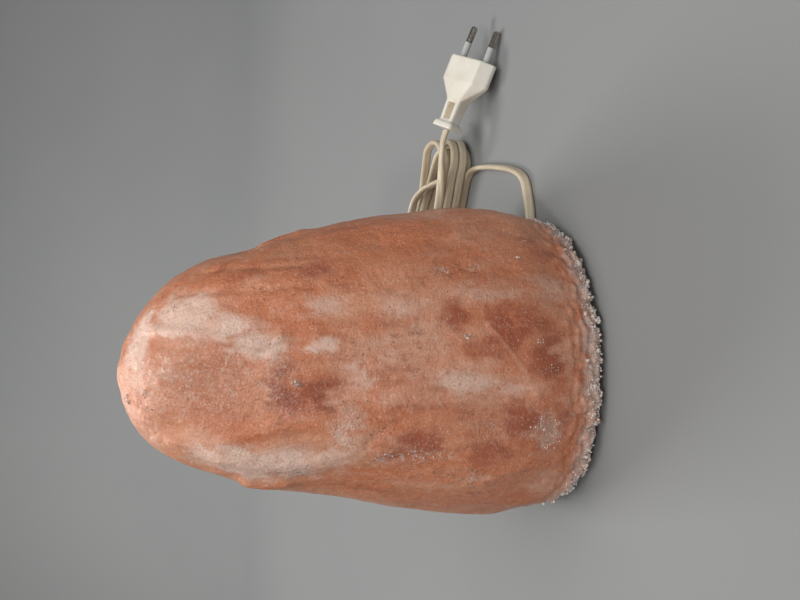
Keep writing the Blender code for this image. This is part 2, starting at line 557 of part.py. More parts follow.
def build():
    salt = material("rock_salt", (0.62, 0.29, 0.19), 0.5)
    felt = material("black_felt", (0.03, 0.03, 0.03), 0.9)
    plastic = material("white_phenolic", (0.75, 0.74, 0.70), 0.4)
    ceramic = material("porcelain", (0.82, 0.80, 0.76), 0.3)
    brass = material("brass", (0.72, 0.53, 0.22), 0.3, 1.0)
    steel = material("spring_steel", (0.55, 0.55, 0.56), 0.35, 1.0)
    nickel = material("nickel", (0.70, 0.69, 0.66), 0.2, 1.0)
    tungsten = material("tungsten", (0.25, 0.25, 0.26), 0.5, 1.0)
    live = material("brown_insulation", (0.25, 0.11, 0.05), 0.5)
    neutral = material("blue_insulation", (0.05, 0.15, 0.45), 0.5)
    glass = material("clear_glass", (0.85, 0.87, 0.88), 0.05)
    insulation = material("black_glass", (0.03, 0.03, 0.04), 0.2)
    flex = material("cream_vinyl", (0.66, 0.61, 0.53), 0.45)
    plug_white = material("white_vinyl", (0.78, 0.76, 0.72), 0.4)
    sleeve = material("grey_sleeve", (0.62, 0.63, 0.62), 0.5)
    switch_white = material("white_switch_shell", (0.74, 0.71, 0.66), 0.4)
    salt_rock(salt)
    feet(felt)
    fitting(plastic, ceramic, brass, steel, live, neutral)
    bulb(glass, brass, insulation, tungsten)
    cord(flex)
    plug(plug_white, switch_white, nickel, sleeve)
    switch(switch_white, plug_white, brass, steel)


for leftover in list(bpy.data.objects):
    bpy.data.objects.remove(leftover, do_unlink=True)
build()
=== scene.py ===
import bpy
import math
import numpy as np
from mathutils import Euler, Matrix, Vector, noise


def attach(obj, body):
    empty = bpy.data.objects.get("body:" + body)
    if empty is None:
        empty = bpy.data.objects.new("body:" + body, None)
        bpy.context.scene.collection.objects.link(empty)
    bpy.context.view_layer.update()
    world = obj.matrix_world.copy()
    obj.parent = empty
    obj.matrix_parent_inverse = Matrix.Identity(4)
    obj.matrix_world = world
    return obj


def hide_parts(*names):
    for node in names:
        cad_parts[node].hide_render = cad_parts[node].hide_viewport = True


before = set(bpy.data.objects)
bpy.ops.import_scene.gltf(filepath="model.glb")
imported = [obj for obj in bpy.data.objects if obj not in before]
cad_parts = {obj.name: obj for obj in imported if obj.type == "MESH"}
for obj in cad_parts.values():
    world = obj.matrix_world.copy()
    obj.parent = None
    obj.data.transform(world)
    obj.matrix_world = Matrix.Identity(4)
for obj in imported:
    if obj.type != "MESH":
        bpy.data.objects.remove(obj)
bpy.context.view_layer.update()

MM = 0.001
NOISE_SEED = 5
noise.seed_set(NOISE_SEED)  # otherwise vector noise is seeded from the clock

# ------------------------ driving dimensions, millimetres
CAMERA_PLACE = (30.5, -370.0, 226.0)
CAMERA_PITCH = math.radians(22)
CAMERA_LENS = 36.0
SENSOR_WIDTH = 36.0

# area lights: name, place and target in metres, size, watts, colour
LIGHTS = (
    ("overhead_panel", (0.18, -0.35, 1.45), (0, -0.02, 0.05), (1.5, 1.1), 17.0, (1.0, 0.99, 0.97)),
    ("back_panel", (-0.30, 0.78, 1.05), (0, 0.15, 0.05), (0.45, 0.35), 8.0, (1.0, 0.985, 0.96)),
    ("glint_lamp", (-0.44, -1.04, 1.19), (0, -0.04, 0.16), (0.11, 0.11), 4.5, (1.0, 0.99, 0.97)),
    ("front_fill", (0.25, -1.5, 0.7), (0, 0, 0.12), (1.4, 0.9), 3.6, (1.0, 0.98, 0.96)),
)
AIR_COLOUR, AIR_STRENGTH = (0.80, 0.84, 0.88, 1), 0.16

CORD_WIDE, CORD_THICK = 5.4, 3.2
CORD_STEP = 1.5
CORD_SIDES = 16

# the lead from the fitting to the inline switch: x, y, z and the lean of its wide side from upright
LEAD_ROUTE = (
    (0, 0, 27, 90), (0, 0, 22.5, 90), (1.2, 0, 16, 90), (5.5, -0.3, 9.8, 90), (13, -0.7, 5.8, 90),
    (24, -1, 4.2, 88), (42, -1.3, 3.3, 75), (60, -1.5, 3, 50), (75, -2, 2.8, 30), (86.6, 0.7, 2.7, 22),
    (96.4, 5, 2.7, 18), (102.5, 16.7, 2.7, 15), (107, 36, 2.7, 12), (109.3, 52, 2.7, 8),
    (109.6, 61, 2.7, 4), (107.9, 68.4, 2.7, 0), (102.8, 73.4, 2.7, 0), (95, 77, 2.7, 0),
    (80, 83.4, 2.7, 0), (66, 89.6, 2.4, 40), (54, 94.6, 1.9, 80), (44, 98.4, 2.2, 90),
    (37, 99.8, 5.5, 90), (31, 100, 8.6, 90), (25, 100, 9.05, 90),
)
# from the switch round to the hank
HANK_ENTRY = (
    (-21, 100, 9.05, 90), (-28, 100.2, 8.8, 90), (-36, 101.2, 6.2, 80), (-43.5, 104, 3.6, 40),
    (-49.5, 111, 2.7, 10), (-50.5, 120, 2.7, 0), (-46.5, 128.5, 2.7, 0), (-38, 133.8, 2.7, 0),
    (-22, 135.4, 2.7, 0), (0, 134.6, 2.7, 0), (20, 133.2, 2.7, 0), (36, 132, 2.7, 0), (48, 131.2, 2.7, 0),
)
# the last strand: out of the hank's eye, over its back, round its far end and forward to the plug
HANK_EXIT = (
    (106.8, 78, 14.6, 0), (104.7, 83, 15.8, 0), (103.3, 90, 18, 0), (101.2, 98.5, 20.6, 10),
    (95.5, 110.5, 21.4, 10), (84.5, 120.5, 20.4, 5), (72, 125.6, 19.7, 0), (60, 122.6, 19.6, 0),
    (52.6, 113.5, 19.6, 0), (52.8, 103.5, 19.6, 0), (59, 95.6, 19.4, 0), (69, 90, 19.2, 0),
    (78, 84.6, 19.2, 0), (88, 78.9, 19.2, 10), (98, 74.2, 19.9, 40), (108.4, 67.2, 22.6, 75),
    (114.4, 62.4, 24.7, 95), (119.4, 60, 25.5, 100), (125, 60.2, 24.7, 98), (131, 59.8, 22.9, 90),
)
HANK_RIGHT, HANK_RIGHT_RADIUS = Vector((114, 84)), 15.5
HANK_LEFT, HANK_LEFT_RADIUS = Vector((66, 110)), 21
HANK_LOW = 2.7
HANK_LAYER = 5.6
HANK_COLUMN = 3.7
HANK_TURNS = 5.45
HANK_POINTS_PER_TURN = 28
# how the turns stack: phase in turns, columns in from the outside, layers up from the floor
WINDING = (
    (0, 1, 0), (0.6, 1, 0), (0.78, 1, 0.57), (1.0, 1, 1), (1.6, 1, 1), (1.78, 1, 1.55), (1.92, 0.6, 1.2),
    (2.0, 0.2, 0.8), (2.12, 0, 0), (2.25, 0, 0), (2.5, 0, 1), (3.25, 0, 1), (3.5, 0, 2), (4.08, 0, 2),
    (4.27, 0.1, 3), (4.42, 0.5, 3), (4.6, 1.2, 2.1), (5.1, 1.2, 2), (5.45, 1.8, 2),
)

# ------------------------ small helpers


def linked(name, data):
    """An object with the given data, in the scene at the origin."""
    made = bpy.data.objects.new(name, data)
    bpy.context.collection.objects.link(made)
    return made


def deselect():
    for other in list(bpy.context.selected_objects):
        other.select_set(False)


def activate(piece):
    deselect()
    piece.select_set(True)
    bpy.context.view_layer.objects.active = piece


def edit_all(piece):
    """Open the piece's mesh for editing with everything selected."""
    activate(piece)
    bpy.ops.object.mode_set(mode="EDIT")
    bpy.ops.mesh.select_all(action="SELECT")


def named(name):
    """The primitive that was just added, under its own name."""
    piece = bpy.context.object
    piece.name = name
    piece.data.name = name
    return piece


def apply_modifiers(piece):
    activate(piece)
    for modifier in list(piece.modifiers):
        bpy.ops.object.modifier_apply(modifier=modifier.name)


def settle(piece):
    """Put the piece's place and turn into its mesh."""
    activate(piece)
    bpy.ops.object.transform_apply(location=True, rotation=True, scale=True)


def even_mesh(piece, voxel):
    """Rebuild the skin in even squares of the given size."""
    remesh = piece.modifiers.new("even_mesh", "REMESH")
    remesh.mode = "VOXEL"
    remesh.voxel_size = voxel * MM
    remesh.use_smooth_shade = True
    apply_modifiers(piece)


def relax(piece, factor, rounds, group=""):
    """Run the corners soft, where the group says."""
    smoothing = piece.modifiers.new("worn", "SMOOTH")
    smoothing.factor = factor
    smoothing.iterations = rounds
    smoothing.vertex_group = group
    apply_modifiers(piece)


def copy_of(node, name):
    """A merged copy of a CAD node's mesh, as a piece of its own."""
    piece = linked(name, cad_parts[node].data.copy())
    piece.data.name = name
    piece.data.materials.clear()
    edit_all(piece)
    bpy.ops.mesh.remove_doubles(threshold=0.00001)
    bpy.ops.mesh.normals_make_consistent(inside=False)
    bpy.ops.object.mode_set(mode="OBJECT")
    return piece


def vertex_rows(piece, what):
    count = len(piece.data.vertices)
    flat = np.empty(count * 3)
    piece.data.vertices.foreach_get(what, flat)
    return flat.reshape(count, 3)


def coordinates(piece):
    return vertex_rows(piece, "co")


def outward(piece):
    return vertex_rows(piece, "normal")


def move_to(piece, places):
    piece.data.vertices.foreach_set("co", places.ravel())
    piece.data.update()


# ------------------------ materials


class Finish:
    """A node material built in a few lines: its Principled shader and the nodes that feed it."""

    def __init__(self, name, colour, roughness, metallic=0.0, **constants):
        self.material = bpy.data.materials.new(name)
        self.material.use_nodes = True
        self.tree = self.material.node_tree
        self.shader = self.tree.nodes["Principled BSDF"]
        self.shader.inputs["Base Color"].default_value = (*colour, 1.0)
        self.shader.inputs["Roughness"].default_value = roughness
        self.shader.inputs["Metallic"].default_value = metallic
        for socket, value in constants.items():
            self.shader.inputs[socket.replace("_", " ")].default_value = value
        self.object_space = self.node("ShaderNodeTexCoord").outputs["Object"]

    def node(self, kind, inputs=(), **settings):
        made = self.tree.nodes.new(kind)
        for key, value in settings.items():
            setattr(made, key, value)
        for socket, value in dict(inputs).items():
            if isinstance(value, bpy.types.NodeSocket):
                self.tree.links.new(value, made.inputs[socket])
            else:
                made.inputs[socket].default_value = value
        return made

    def stretched(self, scale, turn=(0, 0, 0)):
        inputs = {"Vector": self.object_space, "Scale": scale, "Rotation": turn}
        return self.node("ShaderNodeMapping", inputs).outputs["Vector"]

    def noise(self, vector, scale, detail=3.0, roughness=0.55, distortion=0.0):
        made = self.node("ShaderNodeTexNoise", {"Vector": vector, "Scale": scale, "Detail": detail,
                                                "Roughness": roughness, "Distortion": distortion})
        return made.outputs["Fac"]

    def span(self, value, low, high, to_low=0.0, to_high=1.0):
        made = self.node("ShaderNodeMapRange", {"Value": value, "From Min": low, "From Max": high,
                                                "To Min": to_low, "To Max": to_high},
                         interpolation_type="SMOOTHSTEP")
        return made.outputs["Result"]

    def blend(self, factor, first, second):
        made = self.node("ShaderNodeMix", {0: factor, 6: first, 7: second}, data_type="RGBA")
        return made.outputs[2]

    def maths(self, operation, first, second):
        made = self.node("ShaderNodeMath", {0: first, 1: second}, operation=operation)
        return made.outputs[0]

    def bump(self, height, strength, distance, below=None):
        inputs = {"Height": height, "Strength": strength, "Distance": distance}
        if below is not None:
            inputs["Normal"] = below
        return self.node("ShaderNodeBump", inputs).outputs["Normal"]

    def feed(self, socket, value):
        self.tree.links.new(value, self.shader.inputs[socket])


def moulded(name, colour, roughness, grain=900.0, dirt=0.12):
    """Moulded plastic: a faint surface texture, cloudy handling marks and uneven gloss."""
    made = Finish(name, colour, roughness)
    cloud = made.noise(made.object_space, 45.0, 4.0)
    dull = tuple(c * (1 - dirt) * t for c, t in zip(colour, (1.0, 0.96, 0.88)))
    made.feed("Base Color", made.blend(made.span(cloud, 0.4, 0.75), (*colour, 1), (*dull, 1)))
    fine = made.noise(made.object_space, grain, 2.0)
    made.feed("Roughness", made.span(made.noise(made.object_space, 160.0), 0.2, 0.8, roughness - 0.08,
                                     roughness + 0.1))
    made.feed("Normal", made.bump(fine, 0.12, 0.0002))
    return made.material


def metal(name, colour, roughness, scratch=(60, 60, 1500)):
    made = Finish(name, colour, roughness, 1.0)
    lines = made.noise(made.stretched(scratch), 1.0, 2.0)
    made.feed("Roughness", made.span(lines, 0.3, 0.7, roughness * 0.7, roughness * 1.4))
    tarnish = made.noise(made.object_space, 250.0, 3.0)
    dark = tuple(c * 0.72 for c in colour)
    made.feed("Base Color", made.blend(made.span(tarnish, 0.5, 0.75), (*colour, 1), (*dark, 1)))
    made.feed("Normal", made.bump(lines, 0.06, 0.0001))
    return made.material


def salt_finish():
    """Rock salt: milky, amber and red bands drawn out along the block, fissures, chips and a sugary skin,
    with painted shade on its lower front and along its ledges and painted glints on the sugary skin.
    """
    made = Finish("rock_salt", (0.50, 0.20, 0.11), 0.42, Subsurface_Weight=0.24, Subsurface_Scale=0.004,
                  Subsurface_Radius=(1.0, 0.42, 0.25), IOR=1.54, Coat_Roughness=0.11)
    zones = made.node("ShaderNodeAttribute", attribute_name="salt_zones")
    split = made.node("ShaderNodeSeparateColor", {"Color": zones.outputs["Color"]})
    milky, deep_and_low_shade, amber_and_low_shade = split.outputs[0], split.outputs[1], split.outputs[2]
    sugary = zones.outputs["Alpha"]
    marks = made.node("ShaderNodeAttribute", attribute_name="salt_marks")
    marked = made.node("ShaderNodeSeparateColor", {"Color": marks.outputs["Color"]})
    fissured, chipped, rim = marked.outputs[0], marked.outputs[1], marked.outputs[2]
    ledge_shade = marks.outputs["Alpha"]

    streaks = made.noise(made.stretched((95, 95, 22)), 1.0, 7.0, 0.62, 0.6)
    clouds = made.noise(made.stretched((42, 42, 22)), 1.0, 6.0, 0.62, 0.6)
    threads = made.noise(made.stretched((380, 380, 150)), 1.0, 5.0, 0.65)
    mottle = made.noise(made.object_space, 340.0, 6.0, 0.72)
    grain = made.noise(made.object_space, 1100.0, 3.0, 0.7)

    red, brown = (0.40, 0.110, 0.046, 1), (0.26, 0.075, 0.038, 1)
    orange, pink = (0.62, 0.205, 0.090, 1), (0.70, 0.315, 0.180, 1)
    milk, ice = (0.76, 0.50, 0.395, 1), (0.88, 0.72, 0.65, 1)

    body = made.blend(made.span(clouds, 0.38, 0.64), orange, pink)
    body = made.blend(made.span(streaks, 0.55, 0.74, 0.0, 0.55), body, milk)
    body = made.blend(made.span(streaks, 0.45, 0.30, 0.0, 0.60), body, red)
    ragged = made.maths("ADD", made.maths("MULTIPLY", mottle, 0.45), made.maths("MULTIPLY", streaks, 0.55))
    ragged = made.maths("MULTIPLY", made.maths("SUBTRACT", ragged, 0.5), 4.0)

    def patch(amount, body, colour, most, low=0.0, high=1.0):
        edge = made.maths("MULTIPLY", amount, made.maths("SUBTRACT", 1.05, amount))
        spread = made.maths("ADD", amount, made.maths("MULTIPLY", ragged, edge))
        return made.blend(made.span(spread, low, high, 0.0, most), body, colour)

    # the amber and deep channels also carry painted shade on the lower front
    body = patch(amber_and_low_shade, body, (0.62, 0.190, 0.076, 1), 0.75)
    body = patch(deep_and_low_shade, body, (0.39, 0.090, 0.036, 1), 0.92, 0.02, 0.85)
    body = patch(milky, body, (0.71, 0.385, 0.270, 1), 0.85, 0.0, 0.95)
    body = patch(milky, body, (0.86, 0.615, 0.505, 1), 0.74, 0.55, 1.15)
    body = made.blend(made.span(threads, 0.52, 0.72, 0.0, 0.26), body, pink)
    body = made.blend(made.span(threads, 0.46, 0.30, 0.0, 0.22), body, brown)
    body = made.blend(made.span(mottle, 0.54, 0.70, 0.0, 0.34), body, milk)
    body = made.blend(made.span(mottle, 0.46, 0.32, 0.0, 0.34), body, red)
    body = made.blend(made.span(grain, 0.56, 0.72, 0.0, 0.50), body, ice)
    body = made.blend(made.span(grain, 0.44, 0.28, 0.0, 0.42), body, brown)
    body = made.blend(made.maths("MULTIPLY", rim, made.span(mottle, 0.34, 0.62, 0.30, 0.80)), body,
                      (0.82, 0.63, 0.555, 1))

    # painted glints: bright specks painted into the colour where the skin is sugary
    glint_noise = made.noise(made.object_space, 800.0, 2.0, 0.6)
    painted_glints = made.maths("MULTIPLY", made.span(glint_noise, 0.50, 0.70), made.span(sugary, 0.1, 0.9, 0.0, 0.40))
    body = made.blend(painted_glints, body, (0.93, 0.72, 0.62, 1))

    # hair-thin dark fissures, thickest in their own seams
    wisps = made.noise(made.stretched((210, 210, 85), (0.25, 0.12, 0)), 1.0, 5.0, 0.6, 0.8)
    closeness = made.maths("ABSOLUTE", made.maths("SUBTRACT", wisps, 0.5), 0.0)
    hair = made.span(closeness, 0.021, 0.006)
    seams = made.maths("MAXIMUM", fissured, made.span(made.noise(made.stretched((30, 30, 13)), 1.0, 2.0),
                                                      0.60, 0.70, 0, 0.40))
    broken = made.span(made.noise(made.object_space, 300.0, 2.0), 0.48, 0.56)
    fissure = made.maths("MULTIPLY", made.maths("MULTIPLY", hair, broken), seams)
    body = made.blend(made.maths("MULTIPLY", fissure, 0.85), body, (0.105, 0.055, 0.042, 1))
    # painted shade along the broken steps and furrows
    body = made.blend(made.maths("MULTIPLY", ledge_shade, made.span(mottle, 0.40, 0.58, 0.2, 0.85)), body,
                      (0.20, 0.070, 0.042, 1))

    # scattered mineral crumbs: dark ones everywhere, grey-white ones in the chipped seams
    crumbs = made.noise(made.object_space, 620.0, 1.0, 0.4)
    scatter = made.maths("ADD", made.maths("MULTIPLY", fissured, 0.05),
                         made.maths("MULTIPLY", chipped, 0.035))
    dark = made.span(made.maths("ADD", crumbs, scatter), 0.765, 0.80, 0.0, 0.8)
    body = made.blend(dark, body, (0.12, 0.075, 0.06, 1))
    chips = made.noise(made.stretched((520, 520, 380), (0.4, 0.3, 0)), 1.0, 2.0, 0.5)
    pale = made.maths("MULTIPLY", made.span(chips, 0.50, 0.58), made.span(chipped, 0.30, 0.75))
    body = made.blend(made.maths("MULTIPLY", pale, 0.5), body, (0.66, 0.50, 0.43, 1))
    made.feed("Base Color", body)

    rough = made.span(mottle, 0.3, 0.7, 0.44, 0.28)
    made.feed("Roughness", made.maths("SUBTRACT", rough, made.maths("MULTIPLY", sugary, 0.08)))

    lumps = made.noise(made.stretched((150, 150, 105)), 1.0, 5.0, 0.62)
    swell = made.bump(lumps, 0.60, 0.0018)
    skin = made.bump(mottle, 0.75, 0.0010, swell)
    cracks = made.bump(made.maths("SUBTRACT", pale, fissure), 0.6, 0.0005, skin)
    frost = made.node("ShaderNodeBump", {"Height": grain, "Normal": cracks, "Distance": 0.0010})
    frosting = made.maths("ADD", made.maths("MULTIPLY", sugary, 0.65), 0.32)
    made.tree.links.new(frosting, frost.inputs["Strength"])
    made.feed("Normal", frost.outputs["Normal"])

    # crystal faces: each small cell is tilted its own way, so some of them glint
    cells = made.node("ShaderNodeTexVoronoi", {"Vector": made.object_space, "Scale": 620.0})
    tilt = made.node("ShaderNodeVectorMath", {0: cells.outputs["Color"], 1: (0.5, 0.5, 0.5)},
                     operation="SUBTRACT")
    lean = made.node("ShaderNodeVectorMath", {0: tilt.outputs["Vector"], "Scale": 0.9}, operation="SCALE")
    tilted = made.node("ShaderNodeVectorMath", {0: frost.outputs["Normal"], 1: lean.outputs["Vector"]},
                       operation="ADD")
    facing = made.node("ShaderNodeVectorMath", {0: tilted.outputs["Vector"]}, operation="NORMALIZE")
    made.feed("Coat Normal", facing.outputs["Vector"])
    made.feed("Coat Weight", made.span(sugary, 0.0, 0.9, 0.15, 1.0))
    return made.material


def crystal_finish():
    """Re-grown salt grains: pale, glassy and faintly pink."""
    made = Finish("salt_grains", (0.72, 0.52, 0.44), 0.3, Subsurface_Weight=0.5, Subsurface_Scale=0.006,
                  Subsurface_Radius=(1.0, 0.6, 0.45), IOR=1.54)
    tint = made.noise(made.object_space, 120.0, 3.0)
    body = made.blend(made.span(tint, 0.35, 0.65), (0.92, 0.73, 0.65, 1), (0.82, 0.55, 0.45, 1))
    frost = made.noise(made.object_space, 900.0, 2.0)
    made.feed("Base Color", made.blend(made.span(frost, 0.5, 0.7, 0, 0.4), body, (0.86, 0.80, 0.77, 1)))
    made.feed("Roughness", made.span(frost, 0.3, 0.7, 0.18, 0.42))
    made.feed("Normal", made.bump(frost, 0.25, 0.0003))
    return made.material


def crumb_finish():
    """Crumbs of grey and white mineral caught in the salt."""
    made = Finish("mineral_crumbs", (0.46, 0.41, 0.39), 0.5, IOR=1.5)
    tint = made.noise(made.object_space, 330.0, 2.0)
    body = made.blend(made.span(tint, 0.45, 0.68), (0.72, 0.575, 0.505, 1), (0.36, 0.27, 0.235, 1))
    made.feed("Base Color", body)
    made.feed("Normal", made.bump(made.noise(made.object_space, 1500.0, 2.0), 0.3, 0.0003))
    return made.material


def vinyl_finish():
    """Cream cord sheath: slightly yellowed, grubby in stretches along its length."""
    made = Finish("cream_vinyl", (0.62, 0.53, 0.40), 0.42, IOR=1.5)
    along = made.node("ShaderNodeUVMap", uv_map="along_cord").outputs["UV"]
    stretch = made.node("ShaderNodeMapping", {"Vector": along, "Scale": (28, 2, 1)}).outputs["Vector"]
    grime = made.noise(stretch, 1.0, 4.0)
    body = made.blend(made.span(grime, 0.42, 0.75), (0.60, 0.51, 0.375, 1), (0.40, 0.315, 0.215, 1))
    made.feed("Base Color", body)
    fine = made.node("ShaderNodeMapping", {"Vector": along, "Scale": (900, 24, 1)}).outputs["Vector"]
    made.feed("Normal", made.bump(made.noise(fine, 1.0, 2.0), 0.08, 0.0002))
    made.feed("Roughness", made.span(grime, 0.3, 0.7, 0.36, 0.5))
    return made.material


def glass_finish():
    made = Finish("clear_glass", (0.95, 0.97, 0.97), 0.04, Transmission_Weight=0.92, IOR=1.5)
    haze = made.noise(made.object_space, 120.0, 3.0)
    made.feed("Roughness", made.span(haze, 0.4, 0.7, 0.02, 0.10))
    return made.material


def felt_finish():
    made = Finish("black_felt", (0.025, 0.024, 0.023), 0.95)
    fibres = made.noise(made.stretched((900, 2600, 900)), 1.0, 4.0)
    made.feed("Base Color", made.blend(fibres, (0.012, 0.012, 0.012, 1), (0.05, 0.048, 0.045, 1)))
    made.feed("Normal", made.bump(fibres, 0.5, 0.0004))
    return made.material


# ------------------------ camera, lights, floor


def camera():
    data = bpy.data.cameras.new("camera")
    data.lens = CAMERA_LENS
    data.sensor_width = SENSOR_WIDTH
    data.clip_start, data.clip_end = 0.01, 20
    made = linked("camera", data)
    forward = Vector((0, math.cos(CAMERA_PITCH), -math.sin(CAMERA_PITCH)))
    image_up = Vector((1, 0, 0))
    image_right = forward.cross(image_up)
    turn = Matrix((image_right, image_up, -forward)).transposed().to_4x4()
    made.matrix_world = Matrix.Translation(Vector(CAMERA_PLACE) * MM) @ turn
    bpy.context.scene.camera = made


def area_light(name, place, target, size, power, colour):
    data = bpy.data.lights.new(name, "AREA")
    data.shape = "RECTANGLE"
    data.size, data.size_y = size
    data.energy = power
    data.color = colour
    made = linked(name, data)
    made.location = place
    made.rotation_euler = (Vector(target) - Vector(place)).to_track_quat("-Z", "Y").to_euler()


def studio():
    for light in LIGHTS:
        area_light(*light)
    world = bpy.data.worlds.new("studio_air")
    world.use_nodes = True
    world.node_tree.nodes["Background"].inputs["Color"].default_value = AIR_COLOUR
    world.node_tree.nodes["Background"].inputs["Strength"].default_value = AIR_STRENGTH
    bpy.context.scene.world = world
    bpy.context.scene.view_settings.view_transform = "Standard"


def sweep():
    """A pale seamless floor that curves up far behind the lamp."""
    wall_at, bend, height, half_wide, front, bend_steps = 1.15, 0.40, 1.6, 2.6, -2.4, 16
    outline = [(front, 0.0), (wall_at - bend, 0.0)]
    for step in range(1, bend_steps + 1):
        turn = math.pi / 2 * step / bend_steps
        outline.append((wall_at - bend + bend * math.sin(turn), bend - bend * math.cos(turn)))
    outline.append((wall_at, height))
    verts = [(x, y, z) for y, z in outline for x in (-half_wide, half_wide)]
    faces = [(2 * i, 2 * i + 1, 2 * i + 3, 2 * i + 2) for i in range(len(outline) - 1)]
    mesh = bpy.data.meshes.new("grey_sweep")
    mesh.from_pydata(verts, [], faces)
    mesh.shade_smooth()
    made = linked("grey_sweep", mesh)
    paper = Finish("grey_paper", (0.235, 0.24, 0.24), 0.75)
    tone = paper.noise(paper.object_space, 2.2, 3.0)
    paper.feed("Base Color", paper.blend(paper.span(tone, 0.35, 0.7), (0.225, 0.232, 0.232, 1),
                                         (0.245, 0.25, 0.248, 1)))
    mesh.materials.append(paper.material)


# ------------------------ the cord


def smooth_route(points, step):
    """Even points along a smooth curve through the given ones; any further columns ride along."""
    given = np.array(points, float)
    padded = np.vstack([2 * given[0] - given[1], given, 2 * given[-1] - given[-2]])
    dense = []
    for a, b, c, d in zip(padded, padded[1:], padded[2:], padded[3:]):
        for t in np.linspace(0, 1, 16, endpoint=False):
            dense.append(0.5 * (2 * b + (c - a) * t + (2 * a - 5 * b + 4 * c - d) * t ** 2
                                + (3 * b - a - 3 * c + d) * t ** 3))
    dense = np.array(dense + [given[-1]])
    along = np.concatenate([[0], np.cumsum(np.linalg.norm(np.diff(dense[:, :3], axis=0), axis=1))])
    stops = np.linspace(0, along[-1], int(round(along[-1] / step)) + 1)
    return np.stack([np.interp(stops, along, column) for column in dense.T], axis=1), along[-1]


def hank_point(phase, inset):
    """A point on the hank's oval: 0 to 0.25 its back run, then its right end, front run and left end."""
    between = HANK_RIGHT - HANK_LEFT
    heading = math.atan2(between.y, between.x)
    lean = math.acos((HANK_LEFT_RADIUS - HANK_RIGHT_RADIUS) / between.length)
    back, front = heading + lean, heading - lean
    left, right = HANK_LEFT_RADIUS - inset, HANK_RIGHT_RADIUS - inset

    def on(centre, radius, turn):
        return Vector((centre.x + radius * math.cos(turn), centre.y + radius * math.sin(turn)))

    part, share = int(phase * 4) % 4, phase * 4 % 1
    if part == 0:
        return on(HANK_LEFT, left, back).lerp(on(HANK_RIGHT, right, back), share)
    if part == 1:
        return on(HANK_RIGHT, right, back + (front - back) * share)
    if part == 2:
        return on(HANK_RIGHT, right, front).lerp(on(HANK_LEFT, left, front), share)
    return on(HANK_LEFT, left, front - (front + 2 * math.pi - back) * share)


def hank_turns():
    """The wound turns: two inside, three and a half around and on them, each lying on the last."""
    phases, insets, layers = zip(*WINDING)
    count = int(HANK_TURNS * HANK_POINTS_PER_TURN)
    turns = []
    for step in range(3, count + 1):
        phase = HANK_TURNS * step / count
        inset = float(np.interp(phase, phases, insets)) * HANK_COLUMN
        layer = float(np.interp(phase, phases, layers)) * HANK_LAYER
        place = hank_point(phase, inset)
        turns.append((place.x, place.y, HANK_LOW + layer, 0))
    return tuple(turns)


def flat_cord(name, route, finish):
    """A flat twin cord swept along its route, its wide side leaning as the route says."""
    points, length = smooth_route(route, CORD_STEP)
    places, leans = points[:, :3], np.radians(points[:, 3])
    tangents = np.gradient(places, axis=0)
    tangents /= np.linalg.norm(tangents, axis=1, keepdims=True)
    heading = np.array((1.0, 0.0))
    section = []
    for step in range(CORD_SIDES):
        turn = 2 * math.pi * step / CORD_SIDES
        wide = math.copysign(abs(math.cos(turn)) ** 0.8, math.cos(turn)) * CORD_WIDE / 2
        thick = math.sin(turn) * CORD_THICK / 2
        groove = 1 - 0.09 * math.exp(-(wide / 0.55) ** 2)
        section.append((wide, thick * groove))
    verts, faces, uv_rows = [], [], []
    for place, tangent, lean in zip(places, tangents, leans):
        flat = tangent[:2]
        if np.linalg.norm(flat) > 0.25:
            heading = flat / np.linalg.norm(flat)
        side = np.array((-heading[1], heading[0], 0.0))
        wide_axis = math.sin(lean) * side + math.cos(lean) * np.array((0.0, 0.0, 1.0))
        wide_axis -= tangent * wide_axis.dot(tangent)
        wide_axis /= np.linalg.norm(wide_axis)
        thick_axis = np.cross(tangent, wide_axis)
        verts += [place + wide_axis * w + thick_axis * t for w, t in section]
    sides = CORD_SIDES
    for ring in range(len(places) - 1):
        for i in range(sides):
            nxt = (i + 1) % sides
            faces.append((ring * sides + i, ring * sides + nxt, (ring + 1) * sides + nxt,
                          (ring + 1) * sides + i))
            uv_rows.append((ring, i, ring, i + 1, ring + 1, i + 1, ring + 1, i))
    ends = [list(range(sides))[::-1], list(range((len(places) - 1) * sides, len(places) * sides))]
    mesh = bpy.data.meshes.new(name)
    mesh.from_pydata([Vector(v) * MM for v in verts], [], faces + ends)
    layer = mesh.uv_layers.new(name="along_cord")
    metre = length * MM / (len(places) - 1)
    corner = 0
    for row in uv_rows:
        for pair in range(4):
            layer.data[corner].uv = (row[2 * pair] * metre, row[2 * pair + 1] / sides)
            corner += 1
    mesh.materials.append(finish)
    piece = linked(name, mesh)
    edit_all(piece)
    bpy.ops.mesh.normals_make_consistent(inside=False)
    bpy.ops.object.mode_set(mode="OBJECT")
    return piece, [tuple(p * MM) for p in places], length * MM


def cords(finish):
    lead, path, length = flat_cord("lamp_cord", LEAD_ROUTE, finish)
    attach(lead, "cord_set")
    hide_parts("cord_lead", "cord_switch_in")
    wound, path, length = flat_cord("plug_cord", HANK_ENTRY + hank_turns() + HANK_EXIT, finish)
    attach(wound, "cord_set")
    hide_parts("cord_switch_out", "cord_hank", "cord_tail")


# ------------------------ plug and switch

# the plug's own frame: X towards the pins, Y across them
PLUG_ORIGIN = Vector((170.3, 47.4, 10.8))
PLUG_X, PLUG_Y = Vector((0.915, -0.29, -0.281)), Vector((0.38, 0.852, 0.36))
WINDOW_MIDDLE, WINDOW_SIZE = (-31.5, 0, 3.45), (9.6, 4.6, 0.9)


def softened(node, name, voxel, rounds, finish):
    """A moulded copy of a CAD node: the same shape with its corners run soft."""
    piece = copy_of(node, name)
    even_mesh(piece, voxel)
    relax(piece, 0.5, rounds)
    piece.data.shade_smooth()
    piece.data.materials.append(finish)
    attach(piece, "cord_set")
    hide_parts(node)
    return piece


